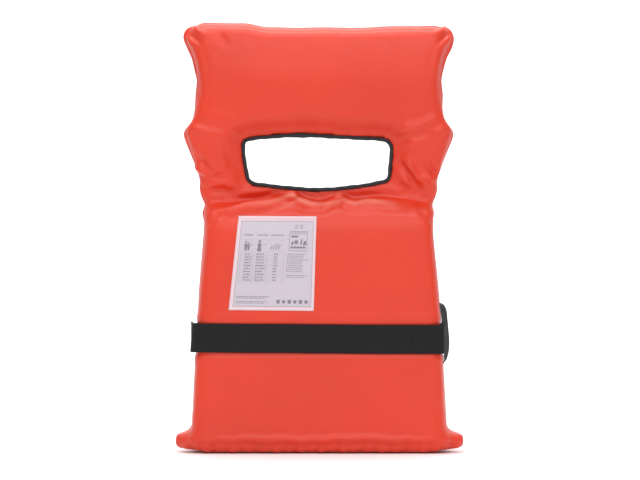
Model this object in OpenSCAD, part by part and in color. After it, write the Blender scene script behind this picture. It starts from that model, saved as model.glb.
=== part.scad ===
// Foam life jacket of the pull-over kind: a thick chest pad, a yoke with the head opening,
// a collar pillow that folds on the neck line, and one waist belt with a side-release buckle.
// Z is up, X is to the right seen from the wearer's side, and -Y is the side worn against the body.

/* [Chest pad] */
// Width across the lower edge, between the two side seams
chest_w_bottom = 362; // [340:1:380]
// Width across the upper edge
chest_w_top = 318; // [300:1:330]
// Height of the pad, from the surface it stands on to the neck fold
chest_h = 345; // [330:1:350]
// Depth from the side seam back to the face worn against the body
chest_back_d = 42; // [36:1:48]
// Depth from the side seam forward to the face of the two lobes
chest_front_d = 46; // [40:1:52]
// Half the width of the channel between the two lobes
channel_half = 3; // [2:0.5:6]

/* [Collar] */
// Width of the collar pillow at mid height
collar_w = 344; // [330:1:356]
// Height of the collar pillow
collar_h = 151; // [130:1:160]
// Depth from the collar's seam to each of its faces
collar_d = 28; // [22:1:32]
// How far the collar's seam lies behind the chest seam
collar_back_shift = 10; // [6:1:12]

/* [Head opening] */
// Width of the opening over its binding
opening_w = 208; // [190:1:214]
// Height of the opening over its binding
opening_h = 80; // [70:1:82]
// Width of the binding tape seen from the back
binding_w = 6; // [4:0.5:8]

/* [Belt] */
// Width of the belt webbing
belt_w = 40; // [38:1:40]
// Thickness of the belt webbing
belt_t = 1.8; // [1.4:0.1:2]
// Height of the belt's middle above the ground
belt_z = 158; // [150:1:165]
// Length of the loose end that lies along the front
tail_l = 118; // [100:1:124]

/* [Buckle] */
// Width of the socket across the belt
socket_w = 54; // [52:1:56]
// Thickness of the socket
socket_t = 12; // [11.5:0.5:13]
// Travel that frees the plug from the socket
plug_travel = 40; // [36:1:42]

/* [Label, tape and whistle] */
// Height of the instruction label
label_h = 133; // [120:1:134]
// Width of each retro-reflective patch
patch_w = 50; // [40:1:52]
// Length of each patch on the lobes
patch_h = 90; // [70:1:92]
// Length of each patch on the collar
collar_patch_l = 90; // [70:1:100]
// Length of the whistle
whistle_l = 55; // [50:1:58]

/* [Hidden] */

fabric = 1.2;          // thickness of a cover panel
slack = 0.5;           // room between a cover and the foam in it
orange = "orangered";
black = [0.10, 0.10, 0.11];

// Section of a pad from its seam to its face: share of the depth, then how far the sides and the
// lower edge step in, then how far the upper edge steps down
profile = [[0, 0, 0], [0.55, 0.5, 5], [0.86, 4, 11], [1, 12, 20]];
flat_foot = 4;         // the lower edge steps in only past this, which leaves a flat foot to stand on
thin = 0.02;           // thickness of the sections that a pad is wrapped round

// Heights of the parts above the ground
fold_z = chest_h + 6.5;
yoke_z = fold_z + 1.5;
collar_z = yoke_z + 94;
top_z = collar_z + collar_h;
opening_z = collar_z - 3 - opening_h / 2;

// Layers in front of the lobes, as distances from the chest seam
belt_gap = 1.8;
belt_y = chest_front_d + belt_gap + belt_t / 2;
tail_y = belt_y + belt_t + 0.3;
buckle_y = belt_y + 7.3;
socket_front = buckle_y + socket_t / 2;

// The belt behind the back panel and round both sides
belt_back_y = -(chest_back_d + 0.5 + belt_t / 2);
belt_right_x = 174.1;
belt_left_x = -179.1;

// Everything is built from the chest seam and moved so that the whole stands centred on the origin
seam_y = -(socket_front + belt_back_y - belt_t / 2) / 2;

label_t = 0.5;
patch_t = 0.5;
sew_gap = 0.1;         // room between a sewn-on piece and the cover under it

// ---------- Points ----------

function arc(cx, cy, r, a0, a1, n = 6) =
    [for (i = [0:n]) let (a = a0 + (a1 - a0) * i / n) [cx + r * cos(a), cy + r * sin(a)]];

function reversed(list) = [for (i = [len(list) - 1:-1:0]) list[i]];

// Outline of a pad. left and right are [x at the foot, x at the top]
function outline(left, right, z0, z1, r) = concat(
    arc(right[0] - r, z0 + r, r, -90, 0),
    arc(right[1] - r, z1 - r, r, 0, 90),
    arc(left[1] + r, z1 - r, r, 90, 180),
    arc(left[0] + r, z0 + r, r, 180, 270)
);

// Pads as [left, right, foot, top, corner radius]
chest_pad = [[-chest_w_bottom / 2, -chest_w_top / 2], [chest_w_bottom / 2, chest_w_top / 2], 0, chest_h, 12];
lobe_pad = [[channel_half + 6, channel_half + 6], chest_pad[1], 0, chest_h, 14];
collar_edge = collar_w / 2 + 3;
collar_pad = [[-collar_edge, -collar_edge], [collar_edge, collar_edge], collar_z + 0.4, top_z, 12];
base_d = 24;           // depth of the front cover in the channel between the lobes

// The straight run of a strap as an outline: a centre line given a thickness
function unit(v) = v / norm(v);
function across(path, i) = let (
    n = len(path),
    a = i > 0 ? unit(path[i] - path[i - 1]) : unit(path[1] - path[0]),
    b = i < n - 1 ? unit(path[i + 1] - path[i]) : a,
    m = unit(a + b)
) [-m[1], m[0]] / (m * a);
function ribbon(path, t) = concat(
    [for (i = [0:len(path) - 1]) path[i] + across(path, i) * t / 2],
    [for (i = [len(path) - 1:-1:0]) path[i] - across(path, i) * t / 2]
);

// ---------- Shared shapes ----------

// Half a pad, from y = start out to its face on side way (-1 back, 1 front). skin steps it in all round
module pad(shape, way, depth, skin = 0, start = 0) hull() for (step = profile) {
    share = step[0] == 0 ? start / depth : step[0];
    side = lookup(share, [for (p = profile) [p[0], p[1]]]) + skin;
    foot = max(0, side - skin - flat_foot) + skin;
    head = lookup(share, [for (p = profile) [p[0], p[2]]]) + skin;
    y = way * share * (depth - skin - thin);
    translate([0, way > 0 ? y + thin : y, 0]) rotate([90, 0, 0]) linear_extrude(thin) polygon(outline(
        [for (x = shape[0]) x + side], [for (x = shape[1]) x - side],
        shape[2] + foot, shape[3] - head, max(shape[4] - skin, 3)));
}

// Corner of the cover where the two panels stand out past the foam, from root to tip
module ear(root, tip, r_root, r_tip, way) {
    thick = 5;
    translate([0, way > 0 ? thick : 0, 0]) rotate([90, 0, 0]) linear_extrude(thick) hull() {
        translate(root) circle(r_root);
        translate(tip) circle(r_tip);
    }
}

module both_sides() {
    children();
    mirror([1, 0, 0]) children();
}

// A strap lying round or along the jacket, its width upright
module strap(path, width, z) translate([0, 0, z - width / 2]) linear_extrude(width) polygon(ribbon(path, belt_t));

module placed() translate([0, seam_y, 0]) children();

// ---------- Chest ----------

module chest_ears(way) both_sides() ear([170, 14], [188.5, 15], 13, 11, way);

module chest_cover_back() color(orange) placed() difference() {
    union() {
        pad(chest_pad, -1, chest_back_d);
        chest_ears(-1);
    }
    pad(chest_pad, -1, chest_back_d, fabric, -1);
}

// Groove between the lobes, widening to the front
module channel() translate([0, 0, -1]) linear_extrude(chest_h + 2) polygon([
    [-channel_half, base_d], [channel_half, base_d],
    [channel_half + 8, chest_front_d + 1], [-channel_half - 8, chest_front_d + 1]
]);

module chest_cover_front() color(orange) placed() difference() {
    union() {
        pad(chest_pad, 1, chest_front_d);
        chest_ears(1);
    }
    channel();
    both_sides() pad(lobe_pad, 1, chest_front_d, fabric, -1);
}

foam_sheet = 11;       // the middle foam is a thin sheet against the seam

module chest_foam_back() color("white") placed()
    pad(chest_pad, -1, chest_back_d, fabric + slack, foam_sheet + 1);

module chest_foam_middle() color("white") placed() {
    inset = 2.4;
    edge = outline([for (x = chest_pad[0]) x + inset], [for (x = chest_pad[1]) x - inset],
                   fabric + slack, chest_h - 5, 10);
    translate([0, -0.5, 0]) rotate([90, 0, 0]) linear_extrude(foam_sheet) polygon(edge);
}

module chest_lobe_foam() color("white") pad(lobe_pad, 1, chest_front_d, fabric + slack, 0.3);
module chest_foam_right() placed() chest_lobe_foam();
module chest_foam_left() placed() mirror([1, 0, 0]) chest_lobe_foam();

// ---------- Yoke with the head opening ----------

// Height above the neck fold, half width, back face and front face, up to the collar. The back face
// starts level, so that the collar folds to the back without meeting the chest's upper edge
yoke_stations = [[0, 161, -10, 1], [18, 167, -11.5, 4], [49, 176, -22, 8], [80, 184, -31, 12], [94, 184, -35, 14]];

// The yoke is where its side profile and its front outline meet
module yoke(skin) {
    n = len(yoke_stations) - 1;
    heights = [for (i = [0:n]) yoke_z + yoke_stations[i][0] + (i == 0 ? skin : i == n ? -skin : 0)];
    intersection() {
        translate([-200, 0, 0]) rotate([90, 0, 90]) linear_extrude(400) polygon(concat(
            [for (i = [0:n]) [yoke_stations[i][3] - skin, heights[i]]],
            [for (i = [n:-1:0]) [yoke_stations[i][2] + skin, heights[i]]]));
        translate([0, 100, 0]) rotate([90, 0, 0]) linear_extrude(200) polygon(concat(
            [for (i = [0:n]) [yoke_stations[i][1] - skin, heights[i]]],
            [for (i = [n:-1:0]) [skin - yoke_stations[i][1], heights[i]]]));
    }
}

yoke_seam = -6;        // the yoke's two panels meet on this plane

module opening_shape(inset) polygon(outline(
    [-opening_w / 2 + 6 + inset, -opening_w / 2 + inset], [opening_w / 2 - 6 - inset, opening_w / 2 - inset],
    opening_z - opening_h / 2 + inset, opening_z + opening_h / 2 - inset, 18 - inset / 2));

module through_opening(inset) translate([0, 60, 0]) rotate([90, 0, 0]) linear_extrude(120) opening_shape(inset);

module yoke_half(way) difference() {
    yoke(0);
    yoke(fabric);
    translate([-200, way > 0 ? yoke_seam - 100 : yoke_seam, yoke_z - 10]) cube([400, 100, 120]);
    through_opening(0);
}
module yoke_cover_back() color(orange) placed() yoke_half(-1);
module yoke_cover_front() color(orange) placed() yoke_half(1);

module shoulder_foam() color("white") intersection() {
    yoke(fabric + slack);
    translate([opening_w / 2 + 5, -60, yoke_z + 8]) cube([90, 100, 80]);
}
module shoulder_foam_right() placed() shoulder_foam();
module shoulder_foam_left() placed() mirror([1, 0, 0]) shoulder_foam();

module neck_binding() color(black) placed() difference() {
    intersection() {
        yoke(0);
        through_opening(0);
    }
    through_opening(binding_w);
}

// ---------- Collar ----------

module collar_ears(way) both_sides() {
    ear([172, top_z - 20], [180, top_z - 17], 12, 10, way);
    ear([172, collar_z + 13], [179, collar_z + 12], 10, 9, way);
}

module collar_cover(way) color(orange) placed() translate([0, -collar_back_shift, 0]) difference() {
    union() {
        pad(collar_pad, way, collar_d);
        collar_ears(way);
    }
    pad(collar_pad, way, collar_d, fabric, -1);
}
module collar_cover_back() collar_cover(-1);
module collar_cover_front() collar_cover(1);

module collar_foam(way) color("white") placed() translate([0, -collar_back_shift, 0])
    pad(collar_pad, way, collar_d, fabric + slack, 0.2);
module collar_foam_back() collar_foam(-1);
module collar_foam_front() collar_foam(1);

// ---------- Label and reflective tape ----------

// The label is sewn on by its edges, and the cover pulls it a little narrower at the top
module instruction_label() color("mistyrose") placed() {
    foot = 196.5;
    translate([0, -chest_back_d - sew_gap, 0]) rotate([90, 0, 0]) linear_extrude(label_t)
        polygon([[-129, foot], [-7, foot], [-3, foot + label_h - 4], [-115, foot + label_h - 4]]);
}

module patch(x, y, z, size) color("silver") placed()
    translate([x - size[0] / 2, y + sew_gap, z - size[1] / 2]) cube([size[0], patch_t, size[1]]);

patch_x = 95;
patch_z = 273;
module reflective_patch_left() patch(-patch_x, chest_front_d, patch_z, [patch_w, patch_h]);
module reflective_patch_right() patch(patch_x, chest_front_d, patch_z, [patch_w, patch_h]);

collar_face_y = collar_d - collar_back_shift;
collar_patch_x = 95;
collar_patch_z = collar_z + collar_h / 2;
module collar_reflective_left() patch(-collar_patch_x, collar_face_y, collar_patch_z, [collar_patch_l, patch_w]);
module collar_reflective_right() patch(collar_patch_x, collar_face_y, collar_patch_z, [collar_patch_l, patch_w]);

// ---------- Belt ----------

bar_r = 2.4;                       // bars that the webbing turns round
wrap_r = bar_r + 0.2 + belt_t / 2; // radius of the webbing's middle round a bar
socket_bar_x = -40;
sewn_end_x = -100;                 // where the folded-back end of the belt is sewn down
plug_bar_x = 22;
belt_end_x = 14;
corner_r = 22;

// From the sewn end, round the socket's bar, then the left side, the back, the right side and to the plug
belt_path = concat(
    [[sewn_end_x, belt_y + belt_t + 0.2], [socket_bar_x - 26, belt_y + belt_t + 0.2],
     [socket_bar_x - 9, buckle_y + wrap_r]],
    reversed(arc(socket_bar_x, buckle_y, wrap_r, -90, 90, 10)),
    [[socket_bar_x - 9, buckle_y - wrap_r], [socket_bar_x - 24, belt_y]],
    arc(belt_left_x + corner_r + 4, belt_y - corner_r - 4, corner_r + 4, 90, 180, 8),
    arc(belt_left_x + 18, belt_back_y + 18, 18, 180, 270, 8),
    arc(belt_right_x - 11, belt_back_y + 11, 11, -90, 0, 8),
    arc(belt_right_x - corner_r, belt_y - corner_r, corner_r, 0, 90, 8),
    [[belt_end_x, belt_y]]
);

module belt() color(black) placed() strap(belt_path, belt_w, belt_z);

// From the plug's inner slot, over its bar, down through the outer slot and along the front
tail_path = concat(
    [[plug_bar_x - wrap_r, tail_y + 1]],
    reversed(arc(plug_bar_x, buckle_y, wrap_r, 0, 180, 10)),
    [[plug_bar_x + wrap_r + 0.4, tail_y + 2.6], [plug_bar_x + 8, tail_y], [plug_bar_x + tail_l, tail_y]]
);

module belt_tail() color(black) placed() strap(tail_path, belt_w - 0.6, belt_z);

// Upright webbing loop on the right side. The belt runs between it and the cover
module belt_loop_side() color(black) placed() {
    loop_w = 28;
    path = [[169.6, 209], [170.4, 204], [176.6, 199.5], [179, 188], [181.2, 165], [181.6, 149], [179.8, 136],
            [176, 128], [175, 121]];
    translate([0, loop_w / 2 - 8, 0]) rotate([90, 0, 0]) linear_extrude(loop_w) polygon(ribbon(path, belt_t));
}

// Upright webbing loop on the face of the left lobe
module belt_loop_front() color(black) placed() {
    loop_w = 25;
    near = chest_front_d + 0.2 + belt_t / 2;
    far = belt_y + belt_t + 1;
    path = [[near, 200], [near, 186], [far, 182], [far, 134], [near, 130], [near, 116]];
    translate([-122 - loop_w / 2, 0, 0]) rotate([90, 0, 90]) linear_extrude(loop_w) polygon(ribbon(path, belt_t));
}

// Elastic band that holds the loose end against the belt
keeper_x = 104;
keeper_w = 18;
module tail_keeper() color(black) placed() {
    wall = 1.1;
    low = chest_front_d + 0.3;
    high = tail_y + belt_t / 2 + 0.3 + wall;
    translate([keeper_x, (low + high) / 2, belt_z]) rotate([0, 90, 0]) linear_extrude(keeper_w) difference() {
        offset(1) square([belt_w + 2 * wall - 0.6, high - low - 2], center = true);
        square([belt_w + 0.8, high - low - 2 * wall], center = true);
    }
}

// ---------- Buckle ----------

body_x = [-34, 2];                 // hollow part of the socket
window_x = [-27, -15];             // side windows that the prong heads stand in
cavity_t = socket_t - 4;
cavity_w = socket_w - 6;
rail_gap = belt_w + 1.4;

module at_buckle() placed() translate([0, buckle_y, belt_z]) children();

module bar(x, width) translate([x, 0, -width / 2]) cylinder(h = width, r = bar_r, $fn = 48);

// Slab with rounded corners seen from the front, centred on the buckle's line
module plate(x0, x1, width, thick, r) translate([0, thick / 2, 0]) rotate([90, 0, 0]) linear_extrude(thick)
    offset(r, $fn = 32) offset(-r) translate([x0, -width / 2]) square([x1 - x0, width]);

module buckle_socket() color(black) at_buckle() {
    difference() {
        union() {
            plate(body_x[0], body_x[1], socket_w, socket_t, 5);
            plate(socket_bar_x - 4, body_x[0] + 12, socket_w - 2, socket_t - 3, 4);
        }
        translate([body_x[0] + 4, -cavity_t / 2, -cavity_w / 2]) cube([50, cavity_t, cavity_w]);
        translate([window_x[0], -cavity_t / 2, -socket_w]) cube([window_x[1] - window_x[0], cavity_t, 2 * socket_w]);
        translate([socket_bar_x - 10, -10, -rail_gap / 2]) cube([10 + body_x[0] - socket_bar_x - 0.4, 20, rail_gap]);
    }
    bar(socket_bar_x, rail_gap + 2);
}

prong_root = [3.6, 15];            // along the belt and across it, where a prong flexes
block_x = [4, 12];

module buckle_plug() color(black) at_buckle() {
    difference() {
        plate(block_x[0], 40, socket_w - 2, 9, 5);
        translate([block_x[1], -10, -rail_gap / 2]) cube([60, 20, rail_gap]);
    }
    bar(plug_bar_x, rail_gap + 2);
    bar(36, rail_gap + 2);
    // Guide tongue between the prongs
    plate(-24, block_x[0] + 3, 9, cavity_t - 2, 2);
}

// Arm and head of one prong. The head's shoulder rests against the front edge of the socket's window
module prong() color(black) rotate([90, 0, 0]) translate([0, 0, -(cavity_t - 2) / 2])
    linear_extrude(cavity_t - 2) polygon(concat(
        [[prong_root[0] - 0.6, 12], [prong_root[0], 13.5], [prong_root[0], 16.5], [prong_root[0] - 0.6, 18]],
        [[-6, 19], [window_x[1] - 1, 21], [window_x[1] - 1, 26]],
        arc(window_x[0] + 5, 22, 4, 90, 180),
        [[window_x[0] + 4, 15], [-12, 13]]
    ));
module prong_upper() at_buckle() prong();
module prong_lower() at_buckle() mirror([0, 0, 1]) prong();

// ---------- Whistle ----------

whistle_x = -40;
whistle_z = 250;
whistle_w = 16;
whistle_t = 9;
whistle_y = chest_front_d + 1.5 + whistle_t / 2;

module whistle_sleeve() color(black) placed() {
    near = chest_front_d + 0.2 + belt_t / 2;
    far = whistle_y + whistle_t / 2 + 0.5 + belt_t / 2;
    half = whistle_w / 2 + 0.6 + belt_t / 2;
    path = [[-half - 8, near], [-half - 1, near], [-half, near + 2], [-half, far - 2], [-half + 2, far],
            [half - 2, far], [half, far - 2], [half, near + 2], [half + 1, near], [half + 8, near]];
    translate([whistle_x, 0, 0]) strap(path, 24, whistle_z + 24);
}

module whistle() color("gold") placed() translate([whistle_x, whistle_y, whistle_z]) difference() {
    union() {
        linear_extrude(whistle_l - 14) offset(2, $fn = 24) square([whistle_w - 4, whistle_t - 4], center = true);
        translate([0, 0, whistle_l - 14]) linear_extrude(14)
            offset(1.5, $fn = 24) square([whistle_w - 5, whistle_t - 6], center = true);
    }
    // Air slot from the mouthpiece, and the sound window across the face
    translate([-4.5, -1, 20]) cube([9, 2, whistle_l]);
    translate([-4.5, 0, 27]) cube([9, 10, 4]);
    // Hole for a cord at the lower end
    translate([0, 0, 6]) rotate([90, 0, 0]) cylinder(h = 20, r = 2, center = true, $fn = 32);
}

chest_cover_back();
chest_cover_front();
chest_foam_back();
chest_foam_middle();
chest_foam_left();
chest_foam_right();
yoke_cover_back();
yoke_cover_front();
shoulder_foam_left();
shoulder_foam_right();
neck_binding();
collar_cover_back();
collar_cover_front();
collar_foam_back();
collar_foam_front();
instruction_label();
reflective_patch_left();
reflective_patch_right();
collar_reflective_left();
collar_reflective_right();
belt();
belt_tail();
belt_loop_side();
belt_loop_front();
tail_keeper();
buckle_socket();
buckle_plug();
prong_upper();
prong_lower();
whistle_sleeve();
whistle();
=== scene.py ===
import math

import bmesh
import bpy
import numpy as np
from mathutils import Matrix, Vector
from mathutils.bvhtree import BVHTree


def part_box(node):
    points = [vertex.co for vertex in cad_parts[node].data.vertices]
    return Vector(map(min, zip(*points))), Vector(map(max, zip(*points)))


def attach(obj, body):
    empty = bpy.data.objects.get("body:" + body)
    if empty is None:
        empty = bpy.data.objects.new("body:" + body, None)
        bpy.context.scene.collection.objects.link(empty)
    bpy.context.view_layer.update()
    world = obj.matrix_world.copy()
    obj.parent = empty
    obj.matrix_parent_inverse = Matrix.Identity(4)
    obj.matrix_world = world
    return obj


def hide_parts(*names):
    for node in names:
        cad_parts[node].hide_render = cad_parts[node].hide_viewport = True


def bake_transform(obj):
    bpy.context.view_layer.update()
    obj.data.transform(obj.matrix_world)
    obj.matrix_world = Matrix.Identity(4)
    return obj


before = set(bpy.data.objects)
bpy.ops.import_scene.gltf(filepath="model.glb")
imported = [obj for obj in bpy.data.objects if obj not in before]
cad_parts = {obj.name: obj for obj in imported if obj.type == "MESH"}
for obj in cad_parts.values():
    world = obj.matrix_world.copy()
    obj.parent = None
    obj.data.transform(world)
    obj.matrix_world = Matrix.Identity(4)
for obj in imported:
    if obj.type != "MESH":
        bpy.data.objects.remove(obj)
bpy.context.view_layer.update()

bl_info = {
    "name": "Life jacket",
    "version": (1, 0, 0),
    "blender": (4, 5, 0),
    "location": "3D View > Sidebar > Life jacket",
    "description": "Builds the covers, webbing, label and trim of a foam life jacket round its frame",
    "category": "Object",
}

MM = 0.001
SEAM_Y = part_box("chest_cover_back")[1][1]       # the plane where the chest's two panels meet


# ---------- Sizes and colours ----------

class CoverSettings(bpy.types.PropertyGroup):
    mesh_step: bpy.props.FloatProperty(
        name="Mesh step", description="Distance between points of the cover's mesh", default=5 * MM,
        unit="LENGTH")
    swell: bpy.props.FloatProperty(
        name="Swell", description="Furthest that the cloth may move off the flat faces of the foam",
        default=1.5 * MM, unit="LENGTH")
    slack_swell: bpy.props.FloatProperty(
        name="Slack swell", description="Furthest that the cloth may move along its seams and corners",
        default=9 * MM, unit="LENGTH")
    slack: bpy.props.FloatProperty(
        name="Slack", description="Share by which the cloth is cut too large along its seams", default=0.07,
        subtype="FACTOR")
    colour: bpy.props.StringProperty(
        name="Colour", description="Coated nylon, as an sRGB hex value", default="#DB3619")
    # Painted highlight: the paler colour laid along the crests of sharp folds, in place of the sheen that
    # they catch from the lamps above
    highlight_colour: bpy.props.StringProperty(
        name="Highlight colour", description="The coating where a sharp fold has paled it, as an sRGB hex value",
        default="#E4735F")


class WebbingSettings(bpy.types.PropertyGroup):
    width: bpy.props.FloatProperty(
        name="Width", description="Width of the belt webbing", default=40 * MM, unit="LENGTH")
    thickness: bpy.props.FloatProperty(
        name="Thickness", description="Thickness of the webbing", default=1.7 * MM, unit="LENGTH")
    rib_pitch: bpy.props.FloatProperty(
        name="Rib pitch", description="Distance between two ribs of the weave", default=2.2 * MM,
        unit="LENGTH")
    colour: bpy.props.StringProperty(
        name="Colour", description="Polypropylene webbing, as an sRGB hex value", default="#0F0F11")


class TrimSettings(bpy.types.PropertyGroup):
    binding_width: bpy.props.FloatProperty(
        name="Binding width", description="Width of the tape round the head opening, seen from the back",
        default=5.3 * MM, unit="LENGTH")
    binding_colour: bpy.props.StringProperty(
        name="Binding colour", description="Grosgrain tape, as an sRGB hex value", default="#2E3033")
    label_colour: bpy.props.StringProperty(
        name="Label colour", description="Coated label cloth, as an sRGB hex value", default="#E2C9D0")
    ground_colour: bpy.props.StringProperty(
        name="Ground colour", description="Printed ground of the label, as an sRGB hex value",
        default="#C6BDC7")
    ink_colour: bpy.props.StringProperty(
        name="Ink colour", description="Print on the label, as an sRGB hex value", default="#837B88")


class StageSettings(bpy.types.PropertyGroup):
    camera_distance: bpy.props.FloatProperty(
        name="Camera distance", description="From the camera to the jacket", default=3.2, unit="LENGTH")
    field_width: bpy.props.FloatProperty(
        name="Field width", description="Width seen at the jacket", default=0.896, unit="LENGTH")
    floor_colour: bpy.props.StringProperty(
        name="Floor colour", description="Floor and backdrop, as an sRGB hex value", default="#F4F4F4")


# ---------- Colours and nodes ----------

def linear(hex_colour):
    """An sRGB hex colour as linear values."""
    parts = [int(hex_colour[i:i + 2], 16) / 255 for i in (1, 3, 5)]
    return tuple(p / 12.92 if p <= 0.04045 else ((p + 0.055) / 1.055) ** 2.4 for p in parts) + (1.0,)


def add_node(tree, kind, inputs=None, **settings):
    """Adds a node. inputs maps a socket's name or number to a value or to another node's output."""
    node = tree.nodes.new(kind)
    for key, value in settings.items():
        setattr(node, key, value)
    for key, value in (inputs or {}).items():
        if isinstance(value, bpy.types.NodeSocket):
            tree.links.new(value, node.inputs[key])
        else:
            node.inputs[key].default_value = value
    return node


def new_material(name, colour, roughness, **sockets):
    """A material with a Principled shader, and the tree and shader to add detail to."""
    material = bpy.data.materials.new(name)
    material.use_nodes = True
    tree = material.node_tree
    shader = tree.nodes["Principled BSDF"]
    shader.inputs["Base Color"].default_value = colour
    shader.inputs["Roughness"].default_value = roughness
    for key, value in sockets.items():
        shader.inputs[key.replace("_", " ")].default_value = value
    material.diffuse_color = colour
    return material, tree, shader


# ---------- Materials ----------

def coated_nylon():
    """Nylon oxford cloth with a polyurethane coating: a soft gloss over a fine weave that barely shows."""
    settings = bpy.context.scene.jacket_cover
    colour = linear(settings.colour)
    material, tree, shader = new_material("coated_nylon_oxford", colour, 0.46, IOR=1.5,
                                          Specular_IOR_Level=0.4, Coat_Weight=0.22, Coat_Roughness=0.24)
    place = add_node(tree, "ShaderNodeTexCoord").outputs["Object"]
    # The dye is a little deeper in patches a hand wide, nine to the metre
    patches = 9.0
    cloud = add_node(tree, "ShaderNodeTexNoise", {"Vector": place, "Scale": patches, "Detail": 3.0})
    shade = add_node(tree, "ShaderNodeValToRGB", {"Fac": cloud.outputs["Fac"]})
    for element, at, share in zip(shade.color_ramp.elements, (0.3, 0.7), (0.95, 1.04)):
        element.position = at
        element.color = tuple(min(1, c * share) for c in colour[:3]) + (1,)
    # Painted highlight: a paler colour mixed in along the crests of sharp folds, in place of the sheen they
    # catch from the lamps above
    highlight_attribute = add_node(tree, "ShaderNodeAttribute", attribute_name="fold_highlight")
    dye_and_highlight = add_node(tree, "ShaderNodeMix", {0: highlight_attribute.outputs["Fac"], 6: shade.outputs["Color"],
                                           7: linear(settings.highlight_colour)}, data_type="RGBA")
    tree.links.new(dye_and_highlight.outputs[2], shader.inputs["Base Color"])
    # Threads are 0.5 mm apart, drawn at 1.1 mm so that they show
    split = add_node(tree, "ShaderNodeSeparateXYZ", {"Vector": place})
    drawn_pitch = 1.1 * MM
    thread = 2 * math.pi / drawn_pitch
    across = add_node(tree, "ShaderNodeMath", {0: split.outputs["X"], 1: thread}, operation="MULTIPLY")
    along = add_node(tree, "ShaderNodeMath", {0: split.outputs["Z"], 1: thread}, operation="MULTIPLY")
    weft = add_node(tree, "ShaderNodeMath", {0: across.outputs[0]}, operation="SINE")
    warp = add_node(tree, "ShaderNodeMath", {0: along.outputs[0]}, operation="SINE")
    weave = add_node(tree, "ShaderNodeMath", {0: weft.outputs[0], 1: warp.outputs[0]}, operation="MULTIPLY")
    # Handling leaves soft dents about 26 mm apart, 38 to the metre
    dents = 38.0
    crumple = add_node(tree, "ShaderNodeTexNoise", {"Vector": place, "Scale": dents, "Detail": 4.0,
                                                    "Roughness": 0.55, "Distortion": 0.4})
    dented = add_node(tree, "ShaderNodeBump", {"Height": crumple.outputs["Fac"], "Distance": 1.2 * MM,
                                               "Strength": 0.5})
    woven = add_node(tree, "ShaderNodeBump", {"Height": weave.outputs[0], "Distance": 0.06 * MM,
                                              "Strength": 0.6, "Normal": dented.outputs["Normal"]})
    tree.links.new(woven.outputs["Normal"], shader.inputs["Normal"])
    return material


def webbing(name, colour, pitch):
    """Woven polypropylene: ribs across its length, crossed by a finer twill, dull with a slight shine."""
    material, tree, shader = new_material(name, linear(colour), 0.7, IOR=1.49, Specular_IOR_Level=0.3)
    uv = add_node(tree, "ShaderNodeUVMap")
    split = add_node(tree, "ShaderNodeSeparateXYZ", {"Vector": uv.outputs["UV"]})
    # UVs are in metres: U along the webbing, V across it
    rib = 2 * math.pi / pitch
    run = add_node(tree, "ShaderNodeMath", {0: split.outputs["X"], 1: rib}, operation="MULTIPLY")
    cross = add_node(tree, "ShaderNodeMath", {0: split.outputs["Y"], 1: rib}, operation="MULTIPLY")
    slant = add_node(tree, "ShaderNodeMath", {0: run.outputs[0], 1: cross.outputs[0]}, operation="ADD")
    ribs = add_node(tree, "ShaderNodeMath", {0: run.outputs[0]}, operation="COSINE")
    twill = add_node(tree, "ShaderNodeMath", {0: slant.outputs[0]}, operation="SINE")
    height = add_node(tree, "ShaderNodeMath", {0: twill.outputs[0], 1: 0.5, 2: ribs.outputs[0]},
                      operation="MULTIPLY_ADD")
    ribbed = add_node(tree, "ShaderNodeBump", {"Height": height.outputs[0], "Distance": 0.2 * MM,
                                               "Strength": 0.8})
    tree.links.new(ribbed.outputs["Normal"], shader.inputs["Normal"])
    # Painted shade and light: the colour is darkened in the weave's hollows and lightened on its ribs,
    # following the same height as the bump
    rib_shading = add_node(tree, "ShaderNodeMapRange", {"Value": height.outputs[0], "From Min": -1.6,
                                                 "From Max": 1.6})
    ramp = add_node(tree, "ShaderNodeValToRGB", {"Fac": rib_shading.outputs["Result"]})
    base = linear(colour)
    ramp.color_ramp.elements[0].color = tuple(c * 0.45 for c in base[:3]) + (1,)
    ramp.color_ramp.elements[1].color = tuple(min(1, c * 1.5 + 0.004) for c in base[:3]) + (1,)
    tree.links.new(ramp.outputs["Color"], shader.inputs["Base Color"])
    return material


def plain_material(name, colour, roughness, grain, depth, **sockets):
    """A moulded or coated surface: one colour with a fine grain. grain is its width and depth its height."""
    material, tree, shader = new_material(name, linear(colour), roughness, **sockets)
    place = add_node(tree, "ShaderNodeTexCoord").outputs["Object"]
    noise = add_node(tree, "ShaderNodeTexNoise", {"Vector": place, "Scale": 1 / grain, "Detail": 2.0})
    grained = add_node(tree, "ShaderNodeBump", {"Height": noise.outputs["Fac"], "Distance": depth,
                                                "Strength": 0.5})
    tree.links.new(grained.outputs["Normal"], shader.inputs["Normal"])
    rough = add_node(tree, "ShaderNodeMapRange", {"Value": noise.outputs["Fac"], "To Min": roughness - 0.06,
                                                  "To Max": roughness + 0.06})
    tree.links.new(rough.outputs["Result"], shader.inputs["Roughness"])
    return material


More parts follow.
